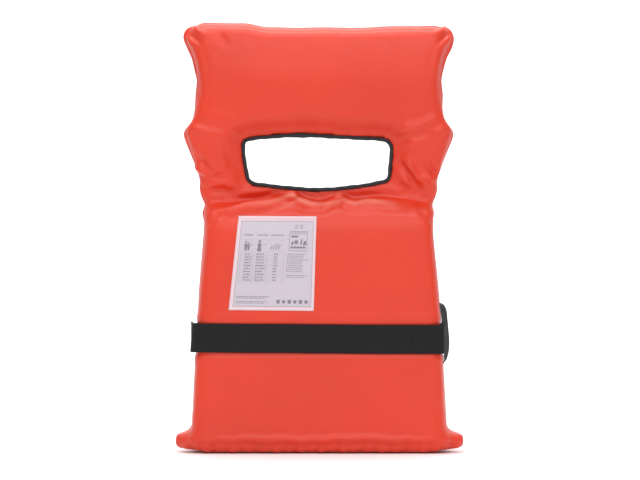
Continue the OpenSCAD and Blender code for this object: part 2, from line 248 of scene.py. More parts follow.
def reflective_tape():
    """Glass-bead retro-reflective tape: silver grey, with a grid of sealed cells 4 mm apart."""
    material, tree, shader = new_material("glass_bead_reflective_tape", linear("#C2C6CA"), 0.5, Metallic=0.3)
    # The cells are laid out flat over the front, so a patch that curves keeps its grid
    place = add_node(tree, "ShaderNodeTexCoord").outputs["Object"]
    split = add_node(tree, "ShaderNodeSeparateXYZ", {"Vector": place})
    flat = add_node(tree, "ShaderNodeCombineXYZ", {"X": split.outputs["X"], "Y": split.outputs["Z"]})
    cell = 4 * MM
    cells = add_node(tree, "ShaderNodeTexVoronoi", {"Vector": flat.outputs[0], "Scale": 1 / cell,
                                                    "Randomness": 0.0},
                     feature="DISTANCE_TO_EDGE", voronoi_dimensions="2D")
    line = add_node(tree, "ShaderNodeMapRange", {"Value": cells.outputs["Distance"], "From Min": 0.03,
                                                 "From Max": 0.12})
    ramp = add_node(tree, "ShaderNodeValToRGB", {"Fac": line.outputs["Result"]})
    ramp.color_ramp.elements[0].color = linear("#8F9499")
    ramp.color_ramp.elements[1].color = linear("#CBD0D4")
    tree.links.new(ramp.outputs["Color"], shader.inputs["Base Color"])
    sealed = add_node(tree, "ShaderNodeBump", {"Height": line.outputs["Result"], "Distance": 0.1 * MM,
                                               "Strength": 0.6})
    tree.links.new(sealed.outputs["Normal"], shader.inputs["Normal"])
    return material


# ---------- Mesh helpers ----------

def add_piece(name, verts, faces, material, smooth=True, uvs=None):
    """A mesh object. uvs gives one (u, v) for each point."""
    mesh = bpy.data.meshes.new(name)
    mesh.from_pydata([tuple(float(c) for c in v) for v in verts], [],
                     [tuple(int(i) for i in f) for f in faces])
    mesh.validate()
    mesh.materials.append(material)
    if uvs is not None:
        layer = mesh.uv_layers.new(name="UVMap")
        for loop in mesh.loops:
            layer.data[loop.index].uv = uvs[loop.vertex_index]
    mesh.polygons.foreach_set("use_smooth", [smooth] * len(mesh.polygons))
    piece = bpy.data.objects.new(name, mesh)
    bpy.context.scene.collection.objects.link(piece)
    return piece


def place_piece(piece, body, slot, *nodes):
    """Puts the piece on a body, in place of any CAD nodes named. slot is not used."""
    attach(piece, body)
    if nodes:
        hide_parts(*nodes)


def through(points, count):
    """A smooth curve through the points, as count points spaced by equal shares of the way."""
    points = np.asarray(points, float)
    ends = np.vstack([2 * points[0] - points[1], points, 2 * points[-1] - points[-2]])
    fine = []
    for k in range(len(points) - 1):
        a, b, c, d = ends[k:k + 4]
        for t in np.linspace(0, 1, 17)[:-1]:
            fine.append(0.5 * (2 * b + (c - a) * t + (2 * a - 5 * b + 4 * c - d) * t ** 2
                               + (3 * b - a - 3 * c + d) * t ** 3))
    fine.append(points[-1])
    fine = np.array(fine)
    way = np.concatenate([[0], np.cumsum(np.linalg.norm(np.diff(fine[:, :2], axis=0), axis=1))])
    return np.column_stack([np.interp(np.linspace(0, way[-1], count), way, fine[:, k])
                            for k in range(fine.shape[1])])


def smooth_step(value, low, high):
    """0 up to low and 1 from high on, with a smooth rise between."""
    t = np.clip((value - low) / (high - low), 0, 1)
    return t * t * (3 - 2 * t)


# ---------- The cover ----------

# Up the jacket: the middle of the back panel (y, z), the middle of the front panel (y, z), the side seam
# (y, z) and half the width of the foam. All in mm, with y counted from the chest seam
STATIONS = [
    (-8, 4, -8, 4, -8, 4.5, 152),
    (-24, 1.2, 24, 1.2, -13, 6.5, 160),
    (-37, 5, 41, 8, -16, 13, 174),
    (-41.5, 19, 46, 20, -13, 23, 179),
    (-42, 38, 46, 38, -2, 36, 175.5),
    (-42, 100, 46, 100, 0, 100, 172.5),
    (-42, 158, 46, 158, 0, 158, 169.5),
    (-42, 230, 46, 230, 0, 230, 164.5),
    (-41.5, 295, 45, 295, 0, 298, 158.5),
    (-38.5, 322, 42, 322, -1, 321, 158),
    (-31, 338, 33, 338, -2, 334, 158),
    (-20, 346, 16, 345.5, -3, 342, 157),
    (-13, 351, -3, 350.5, -5, 349, 156.5),
    (-13.5, 358, 2, 358, -6, 357, 160),
    (-19, 374, 5, 374, -7, 372, 163),
    (-26, 400, 8, 400, -8, 402, 170),
    (-31, 425, 11, 425, -9, 428, 178),
    (-34.5, 447, 14, 447, -10, 447, 183),
    (-36, 470, 17, 470, -10, 466, 172),
    (-38.5, 512, 18, 510, -10, 514, 167),
    (-37.5, 548, 18, 548, -10, 548, 172),
    (-35.5, 571, 17, 570, -10, 573, 181),
    (-32, 583, 12, 583, -10, 586, 181),
    (-23, 589.5, 3, 589.5, -10, 592, 176),
    (-10, 592, -10, 592, -10, 595, 171),
]

# The side seams' outline: height, and distance from the middle at the left and at the right, in mm
EDGES = [
    (4.5, 176, 176), (5.5, 190, 190), (7.5, 197, 198), (10.5, 199.5, 201), (14, 200, 201.5), (20, 200, 201.5),
    (24, 199, 200.5), (26.5, 195, 196), (28.5, 187, 187.5), (30, 181.5, 182), (35, 178.5, 179),
    (43, 177.5, 178.5), (48, 178.2, 178.6), (55, 177, 178), (100, 175, 175.5), (158, 171.5, 172),
    (200, 169.5, 170), (230, 168, 167.5), (298, 162.4, 160.4), (318, 160.8, 158.6), (334, 164, 161.8),
    (346, 159.6, 158.4),
    (355, 165, 163.2), (365, 167.6, 166.2), (379, 166.4, 164), (388, 169.2, 168), (405, 175.6, 174.4),
    (427, 185, 183.6), (436, 188.6, 187.4), (443, 190, 188.8), (450, 187, 185.6), (457, 180, 179),
    (464, 176.4, 175.2), (476, 173.8, 172.6), (498, 173, 173.8), (510, 171.6, 172), (518, 170.8, 171.4),
    (529, 173.8, 173.6), (547, 178, 178.6), (562, 184.4, 186), (570, 188, 188.4), (578, 190.4, 189.6),
    (585, 190, 187.6), (590, 187.2, 184), (593, 184, 180), (595, 179, 176),
]

# How far the bunched upper edge of the chest pad stands above or below a straight line: x and height, in mm
BUNCHED = [
    (-185, 0), (-150, -2), (-120, -1), (-80, 2.5), (-54, 5), (-35, 8), (-20, 4.5), (-6, 0), (8, -2),
    (22, 1.5), (34, 4), (46, 2.5), (58, 1), (76, 3), (98, 1), (125, -1), (160, -1.5), (185, 0),
]

# Outline of the head opening's bound edge, seen from the back (x, z), clockwise from the upper left, in mm
OPENING = [
    (-100.8, 436.2), (-85.4, 439), (-51.8, 441.8), (-26.6, 443.6), (-1.4, 442), (29.4, 440.2), (57.4, 438.8),
    (85.4, 437.2), (96.6, 434), (101.8, 427), (102.8, 415.8), (101.6, 399), (99.4, 382.2), (95.2, 376),
    (82.6, 372.2), (60.2, 368.2), (29.4, 364.6), (1.4, 362.8), (-26.6, 364), (-54.6, 366.6), (-82.6, 369.8),
    (-94.5, 373), (-100.8, 379.4), (-103.6, 390.6), (-106.1, 407.4), (-107.6, 421.4), (-106.4, 431.2),
]


def closed_curve(points, count):
    """A smooth closed curve through the points, as count points."""
    points = np.asarray(points, float)
    # Laid a little past its own start, then cut where it first and last passes the first point
    loop = np.vstack([points[-2:], points, points[:3]])
    points_per_step = 80
    fine = through(loop, (len(loop) - 1) * points_per_step)
    start = int(np.argmin(np.linalg.norm(fine[:len(fine) // 2] - points[0], axis=1)))
    end = len(fine) // 2 + int(np.argmin(np.linalg.norm(fine[len(fine) // 2:] - points[0], axis=1)))
    ring = fine[start:end + 1]
    way = np.concatenate([[0], np.cumsum(np.linalg.norm(np.diff(ring, axis=0), axis=1))])
    at = np.linspace(0, way[-1], count, endpoint=False)
    return np.column_stack([np.interp(at, way, ring[:, k]) for k in range(2)])


def distance_to_loop(x, z, loop):
    """Distance from each place to the loop, in the loop's units, less than 0 inside it."""
    a = loop
    b = np.roll(loop, -1, axis=0)
    px, pz = x.ravel()[:, None], z.ravel()[:, None]
    dx, dz = (b - a)[:, 0], (b - a)[:, 1]
    t = np.clip(((px - a[:, 0]) * dx + (pz - a[:, 1]) * dz) / (dx * dx + dz * dz), 0, 1)
    gap = np.hypot(px - a[:, 0] - t * dx, pz - a[:, 1] - t * dz).min(axis=1)
    crosses = (a[:, 1] > pz) != (b[:, 1] > pz)
    side = px < a[:, 0] + (pz - a[:, 1]) * dx / np.where(dz == 0, 1e-9, dz)
    inside = (crosses & side).sum(axis=1) % 2 == 1
    return np.where(inside, -gap, gap).reshape(x.shape)


def loop_inward(loop):
    """Unit vectors that point into the loop, square to it."""
    ahead = np.roll(loop, -1, axis=0) - np.roll(loop, 1, axis=0)
    ahead /= np.linalg.norm(ahead, axis=1)[:, None]
    inward = np.column_stack([ahead[:, 1], -ahead[:, 0]])
    return inward * np.sign(((loop.mean(axis=0) - loop) * inward).sum(axis=1))[:, None]


def bound_depth(z):
    """Where the bound edge of the head opening lies behind the chest seam, in mm."""
    return -9 - 5 * smooth_step(np.asarray(z, float), 375, 440)


def panel(rows, columns, back):
    """One panel of the cover as arrays x, y, z [row, column], before its folds, in mm."""
    shape = np.array(STATIONS, float)
    face = shape[:, 0:2] if back else shape[:, 2:4]
    # Both panels are spaced by the way up the back, so that their rows meet at the seam
    table = through(np.column_stack([shape[:, 0:2], face, shape[:, 4:]]), rows)
    x, y, z = (np.zeros((rows, columns)) for _ in range(3))
    half = (columns + 1) // 2
    heights, lefts, rights = zip(*EDGES)
    for r, (_, _, face_y, face_z, seam_y, seam_z, foam) in enumerate(table):
        depth = abs(face_y - seam_y)
        bend = min(0.62 * depth, 15)
        sides = []
        for edges in (lefts, rights):
            width = float(np.interp(seam_z, heights, edges))
            ear = width - foam
            # At the foot the ears are as full as the pad beside them
            full = 1 - smooth_step(seam_z, 22, 38)
            tip = (0.05 + 0.17 * full) * depth + 0.12 * min(ear, depth)
            outline = through([(width, 0), (foam + 0.62 * ear, tip),
                               (foam + 0.22 * ear, (0.2 + 0.3 * full) * depth),
                               (foam + 0.5, (0.55 + 0.15 * full) * depth),
                               (foam - 0.3 * bend, depth - 0.3 * bend), (foam - bend, depth - 0.05 * bend),
                               (foam - 2.2 * bend, depth), (0.4 * foam, depth), (0, depth)], half)
            share = outline[:, 1] / max(depth, 1e-6)
            sides.append(np.column_stack([outline[:, 0], seam_y + share * (face_y - seam_y),
                                          seam_z + share * (face_z - seam_z)]))
        row = np.vstack([sides[0] * (-1, 1, 1), sides[1][::-1][1:]])
        x[r], y[r], z[r] = row.T
    return x, y, z


def shape_panel(x, y, z, back):
    """Adds the channel of the front, the uneven top and foot, and the dip to the head opening."""
    loop = closed_curve(OPENING, 160)
    z = z - 2.2 * smooth_step(z, 540, 592) - 0.4 * (1 - smooth_step(z, 4, 34))
    # The collar's upper edge is higher at the left, where the foam has risen in the cover
    top = smooth_step(z, 540, 590)
    left = smooth_step(x, -178, -160) * (1 - smooth_step(x, -106, -70))
    right = smooth_step(x, 60, 125) * (1 - smooth_step(x, 158, 172))
    z = z + top * (6.3 * left + 2.4 * right - 0.6 + 0.35 * np.sin(x / 13 + 1.0) * smooth_step(z, 575, 592))
    if back:
        wave = np.interp(x, *zip(*through(BUNCHED, 120)))
        z = z + wave * smooth_step(z, 318, 342) * (1 - smooth_step(z, 352, 366))
    else:
        groove = np.exp(-(x / 11) ** 2) * smooth_step(z, 8, 30) * (1 - smooth_step(z, 325, 346))
        y = y - groove * np.clip(y - 24, 0, None)
    gap = distance_to_loop(x, z, loop) - 2.5
    bound_y = bound_depth(z)
    rise = smooth_step(gap, -4, 26) ** 0.8
    near = (z > 352) & (gap < 30)
    y = np.where(near, bound_y + rise * (y - bound_y), y)
    return x, y, z, gap


def cover_mesh(material):
    """The cover's two panels as one closed mesh, with the head opening through it."""
    step = bpy.context.scene.jacket_cover.mesh_step / MM
    # The way up a panel and the way across it. A column always runs up its middle
    panel_height, panel_width = 700, 430
    rows = int(round(panel_height / step))
    columns = int(round(panel_width / step)) | 1
    # The cloth's edge ends inside the binding tape, whose outer edge is the opening's outline
    tucked = 4.4
    opening = closed_curve(OPENING, 400)
    inner = opening + tucked * loop_inward(opening)
    panels = []
    for back in (True, False):
        x, y, z = panel(rows, columns, back)
        panels.append(shape_panel(x, y, z, back))
    # Cells whose middle lies in the opening are left out of both panels
    gap = panels[0][3]
    mid = (gap[:-1, :-1] + gap[1:, :-1] + gap[:-1, 1:] + gap[1:, 1:]) / 4
    kept = mid > -0.5
    used = np.zeros((rows, columns), bool)
    open_side = np.zeros((rows, columns), bool)
    for dr in (0, 1):
        for dc in (0, 1):
            used[dr:rows - 1 + dr, dc:columns - 1 + dc] |= kept
            open_side[dr:rows - 1 + dr, dc:columns - 1 + dc] |= ~kept
    rim = used & open_side
    shared = rim.copy()
    shared[0] = shared[-1] = True
    shared[:, 0] = shared[:, -1] = True
    verts, index = [], []
    for side, (x, y, z, _) in enumerate(panels):
        number = np.full((rows, columns), -1)
        for r in range(rows):
            for c in range(columns):
                if not used[r, c]:
                    continue
                if side == 1 and shared[r, c]:
                    number[r, c] = index[0][r, c]
                    continue
                number[r, c] = len(verts)
                px, py, pz = x[r, c], y[r, c], z[r, c]
                if rim[r, c]:
                    px, pz = inner[np.argmin(np.hypot(inner[:, 0] - px, inner[:, 1] - pz))]
                    py = float(bound_depth(pz))
                verts.append((px, py, pz))
        index.append(number)
    faces = []
    for side, number in enumerate(index):
        for r in range(rows - 1):
            for c in range(columns - 1):
                if kept[r, c]:
                    quad = (number[r, c], number[r, c + 1], number[r + 1, c + 1], number[r + 1, c])
                    faces.append(quad if side == 0 else quad[::-1])
    verts = np.array(verts)
    verts[:, 1] += SEAM_Y / MM
    return add_piece("cover", verts * MM, faces, material)


def points_of(piece, values="co"):
    """The piece's points as an array of rows, or their normals where values is "normal"."""
    flat = np.empty(len(piece.data.vertices) * 3)
    piece.data.vertices.foreach_get(values, flat)
    return flat.reshape(-1, 3)


def set_points(piece, points):
    """Moves the piece's points to the rows of an array."""
    piece.data.vertices.foreach_set("co", np.asarray(points, float).ravel())
    piece.data.update()


def slackness(points):
    """Where the cloth is loose, 0 on the flat faces of the foam to 1 along seams, corners and the fold."""
    x, _, z = (points / MM).T
    loop = closed_curve(OPENING, 160)
    gap = distance_to_loop(x, z, loop)
    heights, lefts, rights = zip(*EDGES)
    edge = np.where(x < 0, np.interp(z, heights, lefts), np.interp(z, heights, rights)) - np.abs(x)
    # 1 where the cloth is loose at the side seams, the foot, the collar's top and the neck fold
    side = 1 - smooth_step(edge, 6, 34)
    foot = 1 - smooth_step(z, 14, 40)
    head = smooth_step(z, 560, 588)
    fold = smooth_step(z, 325, 345) * (1 - smooth_step(z, 440, 475))
    return np.clip(np.maximum.reduce([side, foot, head, fold * (1 - smooth_step(gap, 10, 60) * 0.5)]), 0, 1)


def simulate_cover(piece):
    """Lets the slack cloth settle round the foam, as a cloth with a little pressure and no gravity."""
    settings = bpy.context.scene.jacket_cover
    start = points_of(piece)
    loose = slackness(start)
    x, y, z = (start / MM).T
    loop = closed_curve(OPENING, 160)
    gap = distance_to_loop(x, z, loop)
    front = y > SEAM_Y / MM + 1
    # Sewn down: the edge of the opening, the seam along the neck fold and the channel of the front
    sewn = (gap < 1) & (z > 355) & (z < 450)
    sewn |= (np.abs(z - 350.5) < 3) & (np.abs(y - SEAM_Y / MM + 5) < 9)
    sewn |= front & (np.abs(x) < 4) & (z < 335)
    for name, weights in (("slack", loose), ("sewn", sewn.astype(float))):
        group = piece.vertex_groups.new(name=name)
        for number, weight in enumerate(weights):
            if weight > 0:
                group.add([number], float(weight), "REPLACE")
    cloth = piece.modifiers.new("Cloth", "CLOTH")
    cloth.settings.quality = 7
    cloth.settings.mass = 0.2
    cloth.settings.tension_stiffness = 30
    cloth.settings.compression_stiffness = 30
    cloth.settings.shear_stiffness = 12
    cloth.settings.bending_stiffness = 0.6
    cloth.settings.air_damping = 2
    cloth.settings.use_pressure = True
    cloth.settings.uniform_pressure_force = 4
    cloth.settings.effector_weights.gravity = 0
    cloth.settings.vertex_group_mass = "sewn"
    cloth.settings.vertex_group_shrink = "slack"
    cloth.settings.shrink_min = 0
    cloth.settings.shrink_max = -settings.slack
    cloth.collision_settings.use_collision = False
    last_frame = 24
    cloth.point_cache.frame_start = 1
    cloth.point_cache.frame_end = last_frame
    scene = bpy.context.scene
    for number in range(1, last_frame + 1):
        scene.frame_set(number)
    solved = piece.evaluated_get(bpy.context.evaluated_depsgraph_get())
    moved = points_of(solved) - start
    # Each point may go only as far as its cloth is slack
    far = np.linalg.norm(moved, axis=1)
    cap = settings.swell + (settings.slack_swell - settings.swell) * loose
    moved *= np.minimum(1, cap / np.maximum(far, 1e-9))[:, None]
    piece.modifiers.remove(cloth)
    piece.vertex_groups.clear()
    scene.frame_set(1)
    set_points(piece, start + moved)


# Creases of the back panel: the line (x, z) in mm that each follows, how far it stands up before CREASE_GAIN,
# and its half width. A crease less than 0 high is a furrow
CREASE_GAIN = 1.5
CREASES = [
    # Cloth bunched between the chest's upper edge and the head opening
    ([(-142, 335), (-102, 341), (-69, 348), (-48, 356), (-35, 360)], 4.2, 6.0),
    ([(-37, 360), (-28, 352), (-15, 346), (-2, 341)], 2.6, 4.5),
    ([(-14, 343), (2, 344), (18, 350), (30, 356)], 2.2, 4.5),
    ([(27, 357), (38, 350), (52, 346), (60, 346)], 2.6, 4.5),
    ([(50, 345), (78, 349), (112, 348), (132, 346)], 2.8, 5.5),
    ([(-112, 350), (-84, 354), (-60, 360)], -3.2, 4.5),
    ([(-22, 357), (-6, 354), (8, 357)], -1.2, 4.5),
    ([(36, 360), (56, 356), (90, 357)], -2.4, 5.0),
    ([(-60, 336), (-36, 340), (-8, 337)], -1.6, 6.0),
    # Shoulders
    ([(-172, 412), (-158, 398), (-148, 384)], -2.4, 5.5),
    ([(-170, 386), (-150, 380), (-128, 384)], -2.6, 5.0),
    ([(-176, 398), (-160, 388), (-140, 372)], 1.8, 5.0),
    ([(-164, 372), (-140, 364), (-112, 362)], -2.2, 6.0),
    ([(-132, 428), (-124, 408), (-122, 390)], -1.2, 8.0),
    ([(112, 402), (122, 386), (140, 366)], -2.8, 4.5),
    ([(118, 410), (130, 392), (148, 372)], 2.2, 4.5),
    ([(146, 408), (156, 392), (170, 376)], -2.8, 4.5),
    ([(138, 384), (154, 380), (172, 386)], 2.0, 4.5),
    ([(104, 376), (122, 366), (150, 362)], -2.0, 6.0),
    ([(110, 432), (132, 440), (168, 450)], -1.4, 6.0),
    ([(108, 444), (136, 452), (170, 466)], 1.4, 6.0),
    ([(-112, 440), (-140, 452), (-172, 452)], -1.3, 7.0),
    # Collar, beside its edges and at its corners
    ([(-180, 560), (-171, 530), (-166, 500), (-170, 470)], -0.8, 4.0),
    ([(-176, 572), (-164, 540), (-160, 505)], 0.7, 5.0),
    ([(178, 566), (170, 536), (166, 505), (169, 474)], -0.8, 4.0),
    ([(172, 575), (163, 545), (160, 512)], 0.7, 5.0),
    ([(-183, 584), (-172, 574), (-164, 566)], -2.6, 3.6),
    ([(-176, 592), (-166, 583), (-156, 578)], 1.8, 3.6),
    ([(184, 584), (173, 575), (164, 568)], -2.6, 3.6),
    ([(176, 590), (166, 584), (156, 580)], 1.8, 3.6),
    ([(-146, 596), (-140, 582), (-126, 564)], -0.8, 6.0),
    ([(-98, 596), (-92, 580), (-90, 562)], -0.5, 7.0),
    ([(96, 592), (90, 576), (94, 556)], -0.5, 8.0),
    ([(40, 592), (32, 576), (36, 556)], -0.4, 8.0),
    ([(-178, 452), (-162, 446), (-148, 446)], 1.6, 5.0),
    ([(178, 452), (162, 446), (148, 448)], 1.6, 5.0),
    # Foot of the chest pad
    ([(-190, 18), (-160, 19), (-118, 20), (-70, 21), (-20, 19), (40, 22), (100, 20), (150, 19), (190, 18)],
     1.5, 4.5),
    ([(-186, 12), (-150, 12.5), (-100, 13), (-50, 12), (0, 12.5), (60, 13), (120, 12), (160, 13), (186, 12)],
     -1.2, 3.0),
    ([(-178, 30), (-168, 40), (-164, 62)], -1.5, 5.0),
    ([(178, 30), (169, 42), (165, 66)], -1.5, 5.0),
    ([(-168, 310), (-150, 320), (-136, 334)], -1.4, 5.0),
    ([(164, 318), (150, 326), (138, 338)], -1.4, 5.0),
]

# Broad hollows and swells of the faces: middle (x, z), half width and half height, and depth, in mm
SWELLS = [
    ((35, 478), (26, 20), 2.2), ((96, 470), (20, 22), 1.8), ((-62, 474), (30, 22), 1.2),
    ((-128, 496), (24, 40), 0.9), ((-21, 60), (40, 46), 1.2), ((110, 250), (46, 50), 1.0),
    ((60, 110), (70, 9), -1.0), ((-60, 520), (60, 26), -0.8), ((20, 150), (60, 60), -0.6),
    ((-90, 120), (50, 40), 0.7), ((-150, 250), (16, 60), 0.8), ((130, 60), (40, 40), 0.7),
]

# Painted highlight along the crests of sharp folds: the line (x, z) in mm, and how pale its start, middle and
# end are
HIGHLIGHT_FOLDS = [
    ([(-128, 340), (-103, 344), (-77, 346.5), (-60, 351), (-45.6, 356), (-36.7, 359)], (0.0, 0.5, 1.0)),
    ([(-36.7, 359), (-30, 354), (-23, 350.5), (-10, 346.5), (8, 346), (22, 348.5), (35, 352)],
     (1.0, 1.0, 0.8)),
    ([(29, 357), (37, 351), (48, 346.5), (57, 348.5), (66, 351), (88, 349), (114, 346)], (0.5, 1.0, 0.0)),
    ([(1, 337), (12, 342), (26, 346)], (0.0, 0.5, 0.6)),
    ([(-60, 337), (-46, 343.5), (-34, 348)], (0.0, 0.4, 0.3)),
]


def fold_highlight(x, z):
    """How much painted highlight each place takes, from 0 to 1. It fades fast above a fold and slowly below.
    """
    highlight_share = np.zeros(x.shape)
    for line, strengths in HIGHLIGHT_FOLDS:
        line = through(line, 6 * len(line))
        gap, along = line_gap(x, z, line)
        over = z > np.interp(x, line[:, 0], line[:, 1])
        width = np.where(over, 1.9, 3.8)
        highlight_share = np.maximum(highlight_share, np.interp(along, (0, 0.5, 1), strengths) * np.exp(-(gap / width) ** 2))
    return highlight_share


def line_gap(x, z, line):
    """Distance from each place to a line of straight steps, and how far along it that is, from 0 to 1."""
    line = np.asarray(line, float)
    lengths = np.linalg.norm(np.diff(line, axis=0), axis=1)
    best = np.full(x.shape, 1e9)
    along = np.zeros(x.shape)
    for k, length in enumerate(lengths):
        (ax, az), (bx, bz) = line[k:k + 2]
        t = ((x - ax) * (bx - ax) + (z - az) * (bz - az)) / length ** 2
        held = np.clip(t, 0, 1)
        gap = np.hypot(x - ax - held * (bx - ax), z - az - held * (bz - az))
        nearer = gap < best
        best = np.where(nearer, gap, best)
        along = np.where(nearer, (lengths[:k].sum() + held * length) / lengths.sum(), along)
    return best, along


def crease_relief(x, z):
    """How far the folds of the back panel stand off it at each place, in mm."""
    relief = np.zeros(x.shape)
    for line, height, width in CREASES:
        smooth_line = through(line, 4 * len(line))
        gap, along = line_gap(x, z + 0.9 * np.sin(x / 6.5 + 1.7 * np.sin(x / 23)), smooth_line)
        taper = np.sin(np.pi * np.clip(along * 0.94 + 0.03, 0, 1)) ** 0.7
        # A shallow hollow runs along each side of a crease, and a low swell along each side of a furrow
        shape = np.exp(-(gap / width) ** 2) - 0.35 * np.exp(-((gap - 1.9 * width) / width) ** 2)
        relief += CREASE_GAIN * height * taper * shape
    for (cx, cz), (wide, high), depth in SWELLS:
        relief -= depth * np.exp(-((x - cx) / wide) ** 2 - ((z - cz) / high) ** 2)
    # Puckers that fan out from the opening's upper edge, where the tape gathers the cloth
    loop = closed_curve(OPENING, 160)
    gap = distance_to_loop(x, z, loop)
    upper = smooth_step(z, 405, 440) * (gap > 0)
    fan = x + 10 * np.sin(x / 23) - 0.35 * x * np.clip(gap, 0, 60) / 60
    ripple = np.sin(fan / 4.6) * 0.6 + np.sin(fan / 7.9 + 1.3) * 0.8 + 0.5 * np.sin(fan / 2.9 + 0.4)
    relief += upper * ripple * 0.75 * np.exp(-np.clip(gap, 0, None) / 15)
    # Puckers along the lower seam
    foot = 1 - smooth_step(z, 9, 20)
    relief += foot * (np.sin(x / 2.7 + 2 * np.sin(x / 31)) + 0.6 * np.sin(x / 6.3 + 2.2 * np.sin(x / 27)))
    return relief


def crease_cover(piece):
    """Presses folds into the back panel, soft folds into the front, and the belt's groove round the chest."""
    points = points_of(piece)
    normals = points_of(piece, "normal")
    x, _, z = (points / MM).T
    relief = crease_relief(x, z)
    back = smooth_step(-normals[:, 1], 0.05, 0.5)
    points += normals * (back * relief * MM)[:, None]
    # The front is smoother: long shallow folds only
    front = smooth_step(normals[:, 1], 0.1, 0.6)
    soft = 1.5 * np.sin(x / 33 + np.sin(z / 47)) * np.sin(z / 58 + 0.6) + 0.8 * np.sin((x + 0.6 * z) / 21)
    fold = np.exp(-((z - 336) / 18) ** 2) * 2.6 * np.sin(x / 12 + np.sin(x / 41))
    channel = np.exp(-((np.abs(x) - 12) / 9) ** 2) * 1.1 * np.sin(z / 9.5 + np.sign(x)) * (z < 330)
    points += normals * (front * (soft + fold + channel) * MM)[:, None]
    # The belt draws the cloth in by 1.3 mm and makes it swell beside its edges
    middle = (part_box("belt")[0][2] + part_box("belt")[1][2]) / 2 / MM
    off = np.abs(z - middle)
    groove = -1.3 * (1 - smooth_step(off, 19, 24)) + 0.9 * np.exp(-((off - 29) / 7) ** 2)
    points += normals * (groove * MM)[:, None]
    set_points(piece, points)
    # The painted highlight along the fold crests, kept on the back panel's points for the shader
    highlight_share = piece.data.attributes.new("fold_highlight", "FLOAT", "POINT")
    highlight_share.data.foreach_set("value", fold_highlight(points[:, 0] / MM, points[:, 2] / MM) * back)


class JACKET_OT_cover(bpy.types.Operator):
    """Builds the coated nylon cover of the chest pad, yoke and collar as one sewn shell"""
    bl_idname = "jacket.cover"
    bl_label = "Cover"

    def execute(self, context):
        piece = cover_mesh(coated_nylon())
        simulate_cover(piece)
        smooth = piece.modifiers.new("Subdivision", "SUBSURF")
        smooth.levels = smooth.render_levels = 1
        bpy.context.view_layer.objects.active = piece
        with bpy.context.temp_override(object=piece, active_object=piece):
            bpy.ops.object.modifier_apply(modifier="Subdivision")
        crease_cover(piece)
        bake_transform(piece)
        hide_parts("chest_cover_back", "chest_cover_front", "chest_foam_back", "chest_foam_middle",
                    "chest_foam_left", "chest_foam_right", "yoke_cover_back", "yoke_cover_front",
                    "shoulder_foam_left", "shoulder_foam_right", "collar_cover_back", "collar_cover_front",
                    "collar_foam_back", "collar_foam_front")
        return {"FINISHED"}


# ---------- Shapes laid on the cover ----------

class Surface:
    """The cover as a surface to lay pieces on, looked up along Y or X from outside it."""

    def __init__(self):
        cover = bpy.data.objects["cover"]
        self.tree = BVHTree.FromPolygons([v.co for v in cover.data.vertices],
                                         [tuple(p.vertices) for p in cover.data.polygons])

    def y(self, x, z, back=True):
        """Where the back or front lies at (x, z), or the seam where there is no cover."""
        start, way = (-0.3, 1) if back else (0.3, -1)
        hit = self.tree.ray_cast(Vector((x, start, z)), Vector((0, way, 0)))[0]
        return hit.y if hit else SEAM_Y

    def x(self, y, z):
        """Where the right side lies at (y, z), or half the pad's width where there is no cover."""
        hit = self.tree.ray_cast(Vector((0.4, y, z)), Vector((-1, 0, 0)))[0]
        return hit.x if hit else 0.17


def sheet_on(surface, place_at, columns, rows, lift, thickness, ease, back=True):
    """Points and faces of a thin sheet laid on the cover. place_at maps (u, v) from 0 to 1 to (x, z)."""
    heights = np.empty((rows, columns))
    places = np.empty((rows, columns, 2))
    for r in range(rows):
        for c in range(columns):
            places[r, c] = place_at(c / (columns - 1), r / (rows - 1))
            heights[r, c] = surface.y(*places[r, c], back)
    out = -1 if back else 1
    # A stiffer sheet bridges the smallest folds under it
    eased = heights * out
    for _ in range(ease):
        around = np.pad(eased, 1, mode="edge")
        mean = (around[:-2, 1:-1] + around[2:, 1:-1] + around[1:-1, :-2] + around[1:-1, 2:]) / 4
        eased = np.maximum(eased, mean)
    verts, faces = [], []
    for layer in (lift, lift + thickness):
        for r in range(rows):
            for c in range(columns):
                verts.append((places[r, c, 0], out * (eased[r, c] + layer), places[r, c, 1]))
    total = rows * columns
    for r in range(rows - 1):
        for c in range(columns - 1):
            quad = (r * columns + c, r * columns + c + 1, (r + 1) * columns + c + 1, (r + 1) * columns + c)
            faces.append(quad)
            faces.append(tuple(total + i for i in reversed(quad)))
    rim = list(range(columns)) + [r * columns + columns - 1 for r in range(1, rows)]
    rim += [(rows - 1) * columns + c for c in range(columns - 2, -1, -1)]
    rim += [r * columns for r in range(rows - 2, 0, -1)]
    for a, b in zip(rim, rim[1:] + rim[:1]):
        faces.append((b, a, total + a, total + b))

    def top_at(u, v):
        """The place on the sheet's outer face at (u, v)."""
        c, r = u * (columns - 1), v * (rows - 1)
        c0, r0 = min(int(c), columns - 2), min(int(r), rows - 2)
        fc, fr = c - c0, r - r0
        height = ((eased[r0, c0] * (1 - fc) + eased[r0, c0 + 1] * fc) * (1 - fr)
                  + (eased[r0 + 1, c0] * (1 - fc) + eased[r0 + 1, c0 + 1] * fc) * fr)
        x, z = place_at(u, v)
        return Vector((x, out * (height + lift + thickness), z))
    return verts, faces, top_at


def fix_normals(piece):
    """Turns the piece's faces to point outwards."""
    mesh = bmesh.new()
    mesh.from_mesh(piece.data)
    bmesh.ops.recalc_face_normals(mesh, faces=mesh.faces)
    mesh.to_mesh(piece.data)
    mesh.free()


